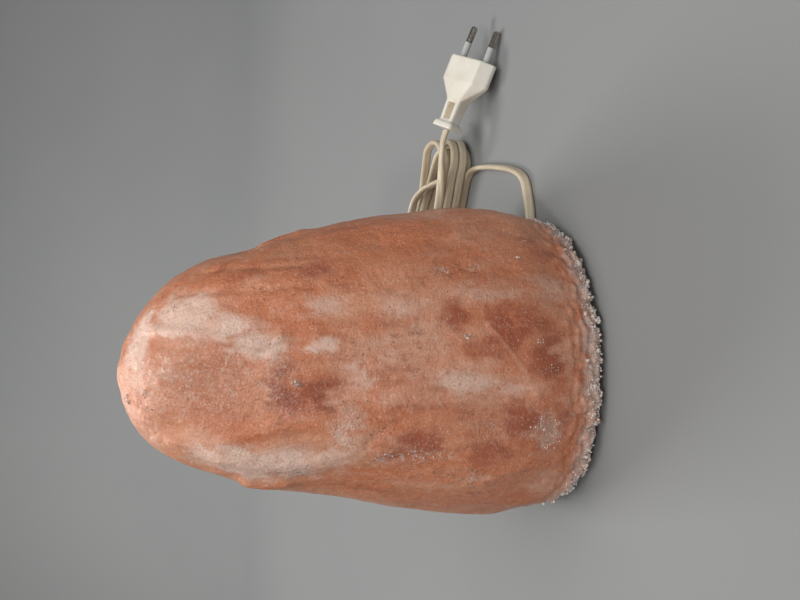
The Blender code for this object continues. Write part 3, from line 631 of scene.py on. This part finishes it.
def plug_frame():
    across = (PLUG_Y - PLUG_X.normalized() * PLUG_Y.dot(PLUG_X.normalized())).normalized()
    forward = PLUG_X.normalized()
    turn = Matrix((forward, across, forward.cross(across))).transposed().to_4x4()
    return Matrix.Translation(PLUG_ORIGIN * MM) @ turn


def window_pads(finish):
    """The tan inner moulding that shows through the windows in the plug's neck."""
    pads = []
    for name, side in (("window_pad_top", 1), ("window_pad_bottom", -1)):
        deselect()
        bpy.ops.mesh.primitive_cube_add(size=1, calc_uvs=False)
        pad = named(name)
        pad.scale = Vector(WINDOW_SIZE) * MM
        settle(pad)
        edit_all(pad)
        bpy.ops.mesh.bevel(offset=0.25 * MM, segments=3, affect="EDGES")
        bpy.ops.object.mode_set(mode="OBJECT")
        x, y, z = WINDOW_MIDDLE
        pad.matrix_world = plug_frame() @ Matrix.Translation(Vector((x, y, side * z)) * MM)
        settle(pad)
        pad.data.shade_smooth()
        pad.data.materials.append(finish)
        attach(pad, "cord_set")
        pads.append(pad)
    return pads


# ------------------------ the salt block

ROCK_VOXEL = 1.25
WAVER_WIDE, WAVER_FINE = 13, 5
# dished hollows: centre, outward direction, half width, half height, depth, lean of its long side
HOLLOWS = (
    ((-5, -41, 166), (-0.1, -0.88, 0.46), 21, 40, 3, 0.1),
    ((-4, -55, 118), (-0.08, -0.97, 0.22), 17, 20, 1.1, 0.15),
    ((-60, -36, 128), (-0.75, -0.62, 0.2), 12, 26, 1.3, 0),
    ((56, -30, 134), (0.8, -0.55, 0.22), 12, 24, 1, 0),
    ((8, 46, 150), (0.1, 0.93, 0.32), 24, 34, 2.6, 0.1),
    ((60, 34, 96), (0.8, 0.58, 0.1), 20, 30, 2, 0),
    ((-62, 34, 84), (-0.82, 0.56, 0.1), 18, 34, 2.2, 0.1),
    ((-6, 64, 62), (0, 1, 0.05), 26, 26, 1.8, -0.1),
)
# flat breaks: a point on each, its outward direction and how far it reaches
BREAKS = (
    ((41, -26, 176), (0.72, -0.5, 0.46), 26), ((24, -34, 176), (0.35, -0.8, 0.47), 20),
    ((-44, -24, 164), (-0.74, -0.52, 0.42), 24), ((44, -46, 124), (0.62, -0.74, 0.24), 26),
    ((-46, -46, 112), (-0.6, -0.78, 0.18), 24), ((62, -42, 60), (0.76, -0.65, 0.04), 26),
    ((-2, -67.5, 50), (0, -1, 0.02), 26), ((-52, -54, 44), (-0.62, -0.78, -0.02), 24),
    ((40, -62, 36), (0.36, -0.93, -0.04), 22), ((72, 0, 86), (0.99, 0, 0.12), 26),
    ((-70, 2, 84), (-0.98, 0.05, 0.18), 24), ((26, 34, 176), (0.3, 0.8, 0.5), 24),
    ((-34, 24, 182), (-0.6, 0.6, 0.53), 24), ((34, 60, 60), (0.35, 0.93, 0.03), 28),
    ((-36, 60, 40), (-0.4, 0.91, 0), 26), ((-12, -12, 206), (-0.3, -0.25, 0.92), 16),
)
# raised edges and furrows: their points, how wide, how far out (or in, below zero)
CREASES = (
    (((17, -20, 195), (17, -31, 183), (14, -39, 168), (13, -43, 158), (15, -46, 148)), 2.8, 1.7),
    (((12, -21, 195), (12, -32, 183), (10, -40, 168), (7, -44, 156)), 2.6, -1.3),
    (((24, -24, 188), (22, -34, 174), (20, -42, 160)), 4.5, 0.7),
    (((9, -41, 165), (8, -44, 156), (12, -46, 147)), 1.4, -0.9),
    (((-29, -20, 188), (-30, -30, 174), (-26, -40, 158), (-22, -45, 146)), 3, 0.8),
    (((-36, -29, 170), (-39, -33, 158), (-41, -37, 144), (-40, -42, 130)), 5, 1.5),
    (((-49, -22, 158), (-50, -24, 151), (-48, -28, 142)), 4, 2),
    (((-50, -20, 168), (-49, -24, 162)), 3, -1.6),
    (((33, -19, 187), (34, -33, 167), (35, -40, 151), (37, -46, 132)), 1.6, -0.8),
    (((43, -17, 176), (44, -33, 149), (45, -38, 137)), 1.8, -0.7),
    (((54, -6, 146), (58, -6, 138), (60, -8, 128)), 3.5, 1.9),
    (((52, -4, 156), (54, -6, 150)), 2.5, -1.5),
    (((-31, -52, 113), (-23, -55, 107), (-20, -57, 100)), 1.1, -0.8),
    (((-39, -49, 107), (-36, -54, 96), (-36, -56, 88), (-37, -58, 78)), 2.2, -0.8),
    (((21, -63, 62), (0, -67, 45), (-14, -67, 36)), 1.2, 0.35),
    (((28, -56, 95), (34, -60, 58), (36, -60, 25)), 6, 0.8),
    (((44, -53, 78), (45, -55, 63), (44, -58, 44)), 3, -0.6),
    (((60, 10, 140), (64, 14, 112), (68, 16, 84)), 7, 1.3),
    (((-20, 34, 176), (-26, 44, 150), (-30, 52, 118)), 5, 1.4),
    (((18, 40, 166), (22, 50, 140), (20, 58, 104), (26, 62, 70)), 3, -1.2),
    (((-56, 28, 120), (-64, 30, 84), (-70, 26, 52)), 4, -1.2),
)
# a broken step, low on the side towards +X: its points, drop and how far the drop lasts
STEPS = (
    (((-21, -43, 155), (-17, -47, 144), (-15, -51, 131), (-13, -53, 124)), 1.7, 16),
    (((6, 50, 140), (2, 58, 112), (4, 62, 88)), 1.6, 18),
)


def near_line(places, line):
    """Each place's distance to a broken line, and the place on the line that is nearest."""
    best = np.full(len(places), 1e9)
    foot = np.zeros_like(places)
    for a, b in zip(np.array(line[:-1], float), np.array(line[1:], float)):
        run = b - a
        share = np.clip((places - a) @ run / (run @ run), 0, 1)
        on_line = a + share[:, None] * run
        away = np.linalg.norm(places - on_line, axis=1)
        closer = away < best
        best[closer] = away[closer]
        foot[closer] = on_line[closer]
    return best, foot


def dish(places, centre, direction, half_wide, half_tall, depth, lean):
    """Scoop a shallow hollow whose rim wavers."""
    out = Vector(direction).normalized()
    up = (Vector((lean, 0, 1)) - out * out.dot(Vector((lean, 0, 1)))).normalized()
    across = np.array(up.cross(out))
    local = places - np.array(centre, float)
    waver = np.array([noise.noise(Vector(place) / WAVER_WIDE) + 0.5 * noise.noise(Vector(place) / WAVER_FINE)
                      for place in places])
    a, b = local @ across / half_wide, local @ np.array(up) / half_tall
    a, b = a * (1 + 0.30 * waver) + 0.16 * waver, b * (1 - 0.22 * waver)
    floor = depth * (np.minimum(a * a + b * b, 1.6) - 1)
    proud = local @ np.array(out) - floor
    inside = (proud > 0) & (a * a + b * b < 1.25) & (np.abs(local @ np.array(out)) < 14)
    places[inside] -= np.outer(proud[inside], np.array(out))


def flatten(places, point, direction, reach):
    """Break the block flat where it stands proud of a plane."""
    out = np.array(Vector(direction).normalized())
    local = places - np.array(point, float)
    proud = local @ out
    away = np.linalg.norm(local - np.outer(proud, out), axis=1)
    weight = np.clip(1.6 - away / reach, 0, 1)
    inside = (proud > 0) & (proud < 6)
    places[inside] -= np.outer((proud * weight)[inside], out)


def step_down(places, normals, line, drop, fade):
    away, foot = near_line(places, line)
    side = np.clip((places[:, 0] - foot[:, 0]) / 0.9, 0, 1) * (places[:, 1] * line[0][1] > 0)
    return -normals * (drop * side * np.exp(-(away / fade) ** 2))[:, None]


def weathered_group(rock):
    """Weights of the outside: none in the bore, the cord groove or the underside."""
    places = coordinates(rock) / MM
    radius = np.hypot(places[:, 0], places[:, 1])
    outside = np.where(places[:, 2] > 128, 1.0, np.clip((radius - 30) / 6, 0, 1))
    weights = outside * np.clip((places[:, 2] - 5.5) / 8, 0, 1)
    group = rock.vertex_groups.new(name="weathered")
    for index, weight in enumerate(weights):
        group.add([index], float(weight), "REPLACE")


def displace(rock, size, strength, stretch, depth):
    """Push the surface in and out by cloudy noise drawn out by the given stretch."""
    texture = bpy.data.textures.new("rock_clouds", "CLOUDS")
    texture.noise_scale = size * MM
    texture.noise_depth = depth
    guide = linked("stretch_guide", None)
    guide.scale = stretch
    bpy.context.view_layer.update()
    modifier = rock.modifiers.new("shape_clouds", "DISPLACE")
    modifier.texture = texture
    modifier.vertex_group = "weathered"
    modifier.strength = strength * MM
    modifier.mid_level = 0.5
    modifier.texture_coords = "OBJECT"
    modifier.texture_coords_object = guide
    apply_modifiers(rock)
    bpy.data.objects.remove(guide)
    bpy.data.textures.remove(texture)


def ragged_rim(rock):
    """Crumble the lower edge in ledges, where the block has drawn water."""
    places = coordinates(rock) / MM
    normals = outward(rock)
    radius = np.hypot(places[:, 0], places[:, 1])
    reach = np.clip((radius - 42) / 8, 0, 1) * np.clip((24 - places[:, 2]) / 12, 0, 1)
    for index in np.nonzero(reach > 0)[0]:
        spot = Vector(places[index])
        lumps = noise.noise(spot / 6.5) * 1.5 + noise.noise(spot / 3.0 + Vector((9, 4, 1))) * 1.7
        ledges = math.sin(places[index][2] * 1.5 + noise.noise(spot / 14) * 7) * 0.45
        step = places[index] + normals[index] * (lumps + ledges - 0.3) * reach[index]
        step[2] = max(step[2], 3.9)
        places[index] = step
    move_to(rock, places * MM)


# patches of colour on the block, and painted shade on its lower front: centre, half sizes, strength
MILKY = (
    ((24, -27, 184), (10.6, 14, 17.2), 1.26), ((19, -38, 168), (5.9, 9, 16.1), 1.26),
    ((11, -43, 157), (5.3, 7, 13.8), 1.26), ((14, -14, 202), (21.2, 13, 6.9), 1.1),
    ((17, -26, 188), (3.1, 12, 16.1), 1.26), ((-34, -27, 176), (8.3, 11, 11.5), 1.01),
    ((-39, -31, 160), (9.4, 11, 16.1), 1.26), ((-39, -38, 143), (9.4, 10, 16.1), 1.26),
    ((-36, -44, 128), (9.4, 9, 10.3), 1.01), ((-28, -51, 120), (10.6, 9, 8), 0.8),
    ((11, -51, 132), (4.7, 6, 6.9), 1.01), ((28, -49, 128), (5.9, 7, 12.6), 0.8),
    ((-2, -54, 118), (15, 9, 9), 0.81), ((-3, -60, 92), (13, 9, 16.1), 0.58),
    ((-5, -63, 72), (8.3, 8, 20), 0.98), ((-9, -65, 52), (7.1, 8, 11.5), 0.83),
    ((-10, -67, 41), (7.1, 7, 8), 0.54), ((27, -56, 96), (7.1, 7, 13.8), 0.74),
    ((34, -60, 62), (5.3, 8, 25.3), 0.74), ((35, -60, 28), (7.1, 8, 16.1), 0.78),
    ((-30, -65, 32), (11.8, 7, 6.9), 0.68), ((-47, -52, 62), (3.5, 6, 11.5), 0.78),
    ((-53, -50, 24), (10.6, 10, 10.3), 0.68), ((12, -60, 84), (11.8, 7, 8), 0.44),
    ((-16, -20, 196), (23.6, 12, 6.9), 0.43), ((6, -67, 21), (40.1, 8, 4.6), 0.49),
    ((16, -63, 62), (10.6, 7, 5.8), 0.3), ((-24, 30, 180), (18.9, 14, 16.1), 0.98),
    ((30, 56, 80), (14.2, 10, 39.1), 0.92), ((-50, 48, 60), (18.9, 14, 23), 0.73),
    ((70, 24, 60), (14.2, 20, 34.5), 0.73), ((-70, 12, 110), (11.8, 16, 25.3), 0.73),
    ((9, -57, 106), (11, 8, 8), 0.66), ((-11, -57, 102), (6, 8, 13), 0.66), ((2, -60, 94), (13, 8, 9), 0.6),
)
DEEP_AND_LOWER_SHADE = (
    # painted shade: this first, wide patch darkens the whole lower front
    ((0, -62, 22), (84, 46, 50), 0.26),
    ((-9, -48, 147), (10, 9, 8), 0.8), ((-8, -52, 131), (8, 7, 9), 0.95), ((2, -47, 149), (8, 8, 6), 0.6),
    ((25, -61, 76), (7, 7, 8), 0.95), ((17, -65, 51), (12, 8, 7), 0.9), ((8, -64, 62), (6, 7, 9), 0.7),
    ((4, -67, 32), (12, 8, 9), 0.85), ((20, -65, 38), (10, 8, 10), 0.6), ((-21, -65, 44), (8, 7, 8), 0.9),
    ((-24, -66, 24), (10, 8, 6), 0.85), ((-36, -61, 59), (8, 8, 8), 0.75), ((-30, -57, 89), (6, 8, 9), 0.9),
    ((-37, -56, 98), (5, 8, 10), 0.6), ((-16, -60, 72), (6, 7, 10), 0.45), ((53, -50, 26), (9, 10, 8), 0.5),
    ((42, -42, 132), (5, 9, 12), 0.6), ((22, -58, 108), (3.5, 6, 10), 0.7),
    ((-60, -34, 40), (8, 14, 22), 0.5),
    ((40, -30, 158), (4, 10, 12), 0.5), ((0, 60, 60), (14, 10, 30), 0.6), ((-66, 10, 60), (12, 24, 34), 0.5),
    ((40, 40, 130), (16, 14, 26), 0.5),
)
AMBER_AND_LOWER_SHADE = (
    # painted shade: this first, wide patch deepens the whole lower front
    ((2, -60, 36), (80, 46, 46), 0.62), ((40, -30, 100), (30, 40, 50), 0.45),
    ((30, -62, 60), (5, 7, 16), 0.8),
    ((20, -48, 138), (6, 8, 15), 1), ((26, -42, 153), (5, 8, 8), 0.7), ((18, -54, 112), (5, 7, 14), 0.8),
    ((38, -26, 172), (6, 12, 16), 0.7), ((43, -34, 146), (7, 12, 18), 0.7),
    ((52, -30, 124), (12, 16, 26), 0.7),
    ((61, -37, 86), (10, 14, 20), 1), ((51, -51, 66), (7, 9, 14), 0.9), ((48, -54, 40), (8, 9, 14), 0.6),
    ((-24, -38, 164), (7, 8, 16), 0.5), ((-4, -36, 174), (18, 14, 22), 0.45),
    ((-22, -50, 128), (6, 7, 12), 0.6),
    ((-46, -50, 84), (8, 11, 20), 0.6), ((-52, -50, 46), (8, 10, 16), 0.7),
    ((-18, -62, 58), (9, 7, 12), 0.5),
    ((-54, -36, 116), (9, 12, 18), 0.6), ((28, -64, 42), (6, 7, 14), 0.5),
    ((10, 56, 110), (14, 12, 26), 0.8),
    ((62, 0, 120), (12, 22, 28), 0.6), ((-60, -8, 120), (12, 20, 26), 0.5),
)
FISSURED = (
    ((33, -20, 186), (2.2, 7, 7), 1), ((35, -38, 155), (2, 8, 9), 1),
    ((43, -20, 172), (2.2, 7, 8), 1),
    ((44, -35, 144), (2, 8, 12), 1), ((-43, -36, 136), (3, 6, 11), 1),
    ((-25, -54, 108), (8, 5, 5), 0.8),
    ((-14, -52, 129), (1.6, 6, 9), 1), ((26, -22, 187), (6, 6, 4), 0.7), ((44, -54, 72), (4, 7, 13), 0.8),
    ((-48, -52, 100), (4, 8, 10), 0.6), ((56, -48, 50), (4, 7, 14), 0.7), ((10, -59, 92), (12, 6, 5), 0.5),
    ((-20, -63, 66), (7, 6, 9), 0.6), ((10, -56, 100), (10, 6, 8), 0.35), ((24, 52, 112), (4, 8, 22), 0.9),
)
CHIPPED = (
    ((-39, -49, 107), (3.2, 6, 5), 1), ((-36, -54, 97), (3.4, 6, 7), 1),
    ((-36, -57, 86), (3.2, 6, 5), 0.9),
    ((-37, -58, 78), (2, 6, 7), 0.7), ((-4, -49, 142), (1.8, 4, 2.6), 1),
    ((44, -53, 78), (2.4, 6, 6), 0.7),
    ((45, -55, 64), (2.6, 6, 5), 0.7), ((6, -48, 145), (3.2, 5, 2), 0.6),
    ((15, -63, 70), (1.8, 4, 1.8), 1),
    ((-49, -53, 66), (2, 6, 6), 0.8), ((-24, -66, 34), (5, 6, 3.2), 0.9),
    ((-34, -63, 29), (4, 6, 3.4), 0.9),
    ((50, -53, 41), (1.5, 4, 2), 1), ((6, -67, 36), (10, 5, 5), 0.35), ((-52, 44, 90), (6, 8, 14), 0.8),
)
SUGARY = (
    ((-3, -34, 176), (20, 16, 24), 1), ((-4, -45, 152), (14, 10, 9), 1),
    ((-28, -64, 33), (12, 8, 8), 1),
    ((-38, -36, 150), (9, 12, 22), 0.6), ((-26, -51, 120), (11, 9, 8), 0.8),
    ((-24, -62, 56), (10, 8, 14), 0.5),
    ((30, 50, 120), (16, 14, 26), 0.7), ((-40, 50, 100), (14, 12, 22), 0.6),
)
VEINS = (
    (((21, -63, 62), (10, -66, 53), (0, -67, 45), (-14, -67, 36)), 0.8, 0.5),
    (((1, -60, 90), (6, -59, 93), (13, -58, 96)), 0.7, 0.35),
    (((17, -20, 195), (17, -31, 183)), 1.5, 0.6),
)
# painted shade: dark lines along the broken steps and furrows, where shade falls
SHADED_LEDGE_LINES = (
    (((-22, -44, 153), (-17, -47, 144), (-15, -51, 131), (-13, -53, 122)), 0.8, 0.8),
    (((-13, -53, 124), (-16, -55, 114), (-17, -57, 104)), 0.7, 0.5),
    (((-32, -52, 113), (-23, -55, 107), (-20, -57, 100)), 0.8, 0.7),
    (((35, -40, 151), (37, -46, 132), (36, -50, 120)), 0.7, 0.6),
    (((44, -33, 149), (45, -38, 137), (46, -42, 126)), 0.7, 0.6),
    (((-39, -49, 107), (-36, -54, 96), (-36, -56, 88), (-37, -58, 78)), 0.9, 0.45),
    (((2, 58, 112), (4, 62, 88)), 0.8, 0.6),
)


def patch_strength(places, patches):
    total = np.zeros(len(places))
    for centre, half, strength in patches:
        away = np.linalg.norm((places - np.array(centre, float)) / np.array(half, float), axis=1)
        total = np.maximum(total, strength * np.clip((1.45 - away) / 1.05, 0, 1))
    return total


def colour_zones(rock):
    """Store the patches as colour attributes, their edges drawn out and broken by noise."""
    places = coordinates(rock) / MM
    bent = places.copy()
    fine = places.copy()
    for index, place in enumerate(places):
        spot = Vector((place[0] / 8, place[1] / 8, place[2] / 22))
        wander = noise.noise_vector(spot) * 3.6 + noise.noise_vector(spot * 3.1) * 2.4
        bent[index] += (wander.x, wander.y, wander.z * 2.2)
        close = noise.noise_vector(Vector(place) / 2.6)
        fine[index] += (close.x * 1.4, close.y, close.z * 2.4)
    milky = patch_strength(bent, MILKY)
    for line, wide, strength in VEINS:
        milky = np.maximum(milky, strength * np.exp(-(near_line(places, line)[0] / wide) ** 2))
    rim = np.clip((17 - places[:, 2] + (bent[:, 0] - places[:, 0]) * 1.3) / 11, 0, 1)
    zones = np.stack([np.maximum(milky, rim), patch_strength(bent, DEEP_AND_LOWER_SHADE) * (1 - 0.8 * milky),
                      patch_strength(bent, AMBER_AND_LOWER_SHADE) * (1 - 0.85 * milky),
                      np.maximum(patch_strength(bent, SUGARY), rim)], axis=1)
    ledge_shade = np.zeros(len(places))
    for line, wide, strength in SHADED_LEDGE_LINES:
        ledge_shade = np.maximum(ledge_shade, strength * np.exp(-(near_line(fine, line)[0] / wide) ** 2))
    marks = np.stack([patch_strength(fine, FISSURED), patch_strength(fine, CHIPPED), rim, ledge_shade], axis=1)
    for name, values in (("salt_zones", zones), ("salt_marks", marks)):
        layer = rock.data.color_attributes.new(name, "FLOAT_COLOR", "POINT")
        layer.data.foreach_set("color", values.ravel())


def salt_block(finish):
    rock = copy_of("salt_rock", "salt_block")
    even_mesh(rock, ROCK_VOXEL)
    weathered_group(rock)
    relax(rock, 0.6, 40, "weathered")
    displace(rock, 26, 3.0, (1, 1, 1.8), 1)
    places = coordinates(rock) / MM
    for point, direction, reach in BREAKS:
        flatten(places, point, direction, reach)
    for hollow in HOLLOWS:
        dish(places, *hollow)
    move_to(rock, places * MM)
    normals = outward(rock)
    for line, wide, out in CREASES:
        away, _ = near_line(places, line)
        places += normals * (out * np.exp(-(away / wide) ** 2))[:, None]
    for line, drop, fade in STEPS:
        places += step_down(places, normals, line, drop, fade)
    move_to(rock, places * MM)
    displace(rock, 9, 1.3, (1, 1, 2.4), 2)
    displace(rock, 3.2, 0.55, (1, 1, 1.4), 2)
    ragged_rim(rock)
    colour_zones(rock)
    rock.data.materials.append(finish)
    rock.data.shade_smooth()
    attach(rock, "rock")
    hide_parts("salt_rock")
    return rock


# ------------------------ grains on the block

RIM_GRAINS = 3400
# clusters of crumbs: centre, spread, count, size
CRUMBS = (
    ((-12, -8, 206.5), 2.2, 9, 0.75), ((-9, -19, 200), 2.6, 11, 0.6), ((-15, -20, 197), 2, 6, 0.5),
    ((-15.5, -22, 194), 1.4, 4, 0.4), ((-4, -49, 142), 1.3, 6, 0.7), ((15, -63.5, 70), 0.9, 4, 0.8),
    ((50, -53.5, 41), 0.8, 3, 0.8), ((12, -67.5, 37), 2.4, 6, 0.45), ((0, -67.5, 31), 3.4, 10, 0.4),
    ((-37, -52, 104), 4.2, 14, 0.36), ((-36, -55.5, 92), 4.5, 16, 0.38), ((-36.5, -57.5, 80), 3.2, 9, 0.3),
    ((-24, -66.5, 34), 6, 26, 0.42), ((-33, -64, 29), 5, 18, 0.42), ((44, -54, 77), 2.4, 5, 0.35),
    ((45.5, -55.5, 63), 2.2, 5, 0.35), ((-49.5, -54, 64), 2.4, 6, 0.35), ((58, -47.5, 33), 1.5, 3, 0.35),
)


def grain_shape():
    """One salt grain: a coarse ball pressed in from six sides, so that it shows the crystal's faces."""
    deselect()
    bpy.ops.mesh.primitive_ico_sphere_add(subdivisions=1, radius=1.0)
    grain = named("grain_pattern")
    shape = np.clip(coordinates(grain), -0.78, 0.78)
    faces = [tuple(face.vertices) for face in grain.data.polygons]
    bpy.data.objects.remove(grain)
    return shape, faces


def grains(name, spots, finish):
    """Strew grains at the given spots: each a place, an outward direction and a size."""
    shape, pattern = grain_shape()
    dice = np.random.default_rng(7)
    verts, faces = [], []
    for place, direction, size in spots:
        turn = np.array(Euler(dice.uniform(0, 6.28, 3)).to_matrix())
        stretch = dice.uniform(0.72, 1.25, 3)
        corners = (shape * stretch * size) @ turn.T + place + direction * size * 0.1
        corners[:, 2] = np.maximum(corners[:, 2], 0.5)
        faces += [tuple(corner + len(verts) for corner in face) for face in pattern]
        verts += [tuple(corner * MM) for corner in corners]
    mesh = bpy.data.meshes.new(name)
    mesh.from_pydata(verts, [], faces)
    mesh.materials.append(finish)
    piece = linked(name, mesh)
    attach(piece, "rock")


def rim_crystals(rock, finish):
    """Re-grown salt along the block's lower edge, hanging almost to the table."""
    dice = np.random.default_rng(3)
    places, normals = coordinates(rock) / MM, outward(rock)
    radius = np.hypot(places[:, 0], places[:, 1])
    low = np.nonzero((places[:, 2] < 13) & (radius > 52) & (normals[:, 2] < 0.6))[0]
    likely = np.exp(-((places[low, 2] - 4.6) / 3.6) ** 2) + 0.10
    picks = dice.choice(low, RIM_GRAINS, replace=False, p=likely / likely.sum())
    spots = []
    for pick in picks:
        size = dice.choice((0.55, 0.75, 1.05, 1.5), p=(0.36, 0.36, 0.23, 0.05))
        size *= 0.75 if places[pick, 2] > 6 else 1.0
        place = places[pick].copy()
        place[2] -= dice.uniform(0.0, 1.3) if place[2] < 5.5 else 0.0
        spots.append((place, normals[pick], size))
    grains("rim_crystals", spots, finish)


def crumbs(rock, finish):
    dice = np.random.default_rng(11)
    places, normals = coordinates(rock) / MM, outward(rock)
    spots = []
    for centre, spread, count, size in CRUMBS:
        for _ in range(count):
            aim = np.array(centre) + dice.normal(0, spread / 2, 3) * (1, 1, 1.3)
            nearest = int(np.argmin(((places - aim) ** 2).sum(axis=1)))
            spots.append((places[nearest], normals[nearest], size * dice.uniform(0.6, 1.25)))
    grains("mineral_crumbs", spots, finish)


# ------------------------ carried-over parts


def dress(finishes):
    """Give every CAD node that stays its own finish."""
    for finish, nodes in finishes:
        for node in nodes:
            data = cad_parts[node].data
            data.materials.clear()
            data.materials.append(finish)


def build():
    camera()
    studio()
    sweep()
    plug_white = moulded("plug_vinyl", (0.72, 0.685, 0.61), 0.42, 1100.0, 0.16)
    switch_white = moulded("switch_plastic", (0.70, 0.66, 0.57), 0.36)
    tan = moulded("window_tan", (0.40, 0.325, 0.225), 0.5)
    plug = [softened("plug_body", "moulded_plug", 0.42, 9, plug_white)]
    plug += window_pads(tan)
    switch = [softened("switch_lower", "switch_base", 0.5, 6, switch_white),
              softened("switch_upper", "switch_lid", 0.5, 6, switch_white)]
    cords(vinyl_finish())
    rock = salt_block(salt_finish())
    rim_crystals(rock, crystal_finish())
    crumbs(rock, crumb_finish())
    steel = metal("spring_steel", (0.55, 0.55, 0.56), 0.32)
    brass = metal("contact_brass", (0.72, 0.52, 0.24), 0.28)
    nickel = metal("nickel", (0.56, 0.50, 0.43), 0.13, (500, 500, 500))
    phenolic = moulded("holder_plastic", (0.74, 0.72, 0.66), 0.38)
    porcelain = moulded("porcelain", (0.80, 0.78, 0.73), 0.2, 300.0, 0.06)
    carrier = moulded("carrier_plastic", (0.66, 0.62, 0.54), 0.4)
    sleeve = moulded("pin_sleeve", (0.46, 0.47, 0.46), 0.5)
    rocker = moulded("rocker_plastic", (0.72, 0.70, 0.64), 0.3)
    glass = glass_finish()
    tungsten = metal("tungsten", (0.22, 0.22, 0.24), 0.4)
    black = moulded("black_glass", (0.02, 0.02, 0.022), 0.15)
    brown = moulded("brown_insulation", (0.14, 0.06, 0.03), 0.45)
    blue = moulded("blue_insulation", (0.02, 0.07, 0.28), 0.45)
    felt = felt_finish()
    dress((
        (felt, ("foot_front_left", "foot_front_right", "foot_back_left", "foot_back_right")),
        (phenolic, ("cord_gland", "holder_cap", "holder_sleeve")),
        (porcelain, ("holder_core",)),
        (steel, ("clip_ring", "spring_leg_1", "spring_leg_2", "spring_leg_3", "terminal_screw_live",
                 "terminal_screw_neutral", "contact_screw_in", "contact_screw_out", "rocker_pin",
                 "shell_screw_1", "shell_screw_2")),
        (brass, ("screw_shell", "centre_contact", "terminal_live", "terminal_neutral", "contact_rivet",
                 "shell_rivet", "bulb_cap", "bulb_tip", "contact_lever", "fixed_contact_in",
                 "fixed_contact_out", "neutral_strip")),
        (nickel, ("pin_left", "pin_right")),
        (carrier, ("pin_carrier",)),
        (sleeve, ("pin_sleeve_left", "pin_sleeve_right")),
        (rocker, ("switch_rocker",)),
        (glass, ("bulb_glass", "bulb_stem")),
        (tungsten, ("filament", "filament_support_left", "filament_support_right")),
        (black, ("bulb_insulator",)),
        (brown, ("live_wire",)),
        (blue, ("neutral_wire",)),
    ))


build()
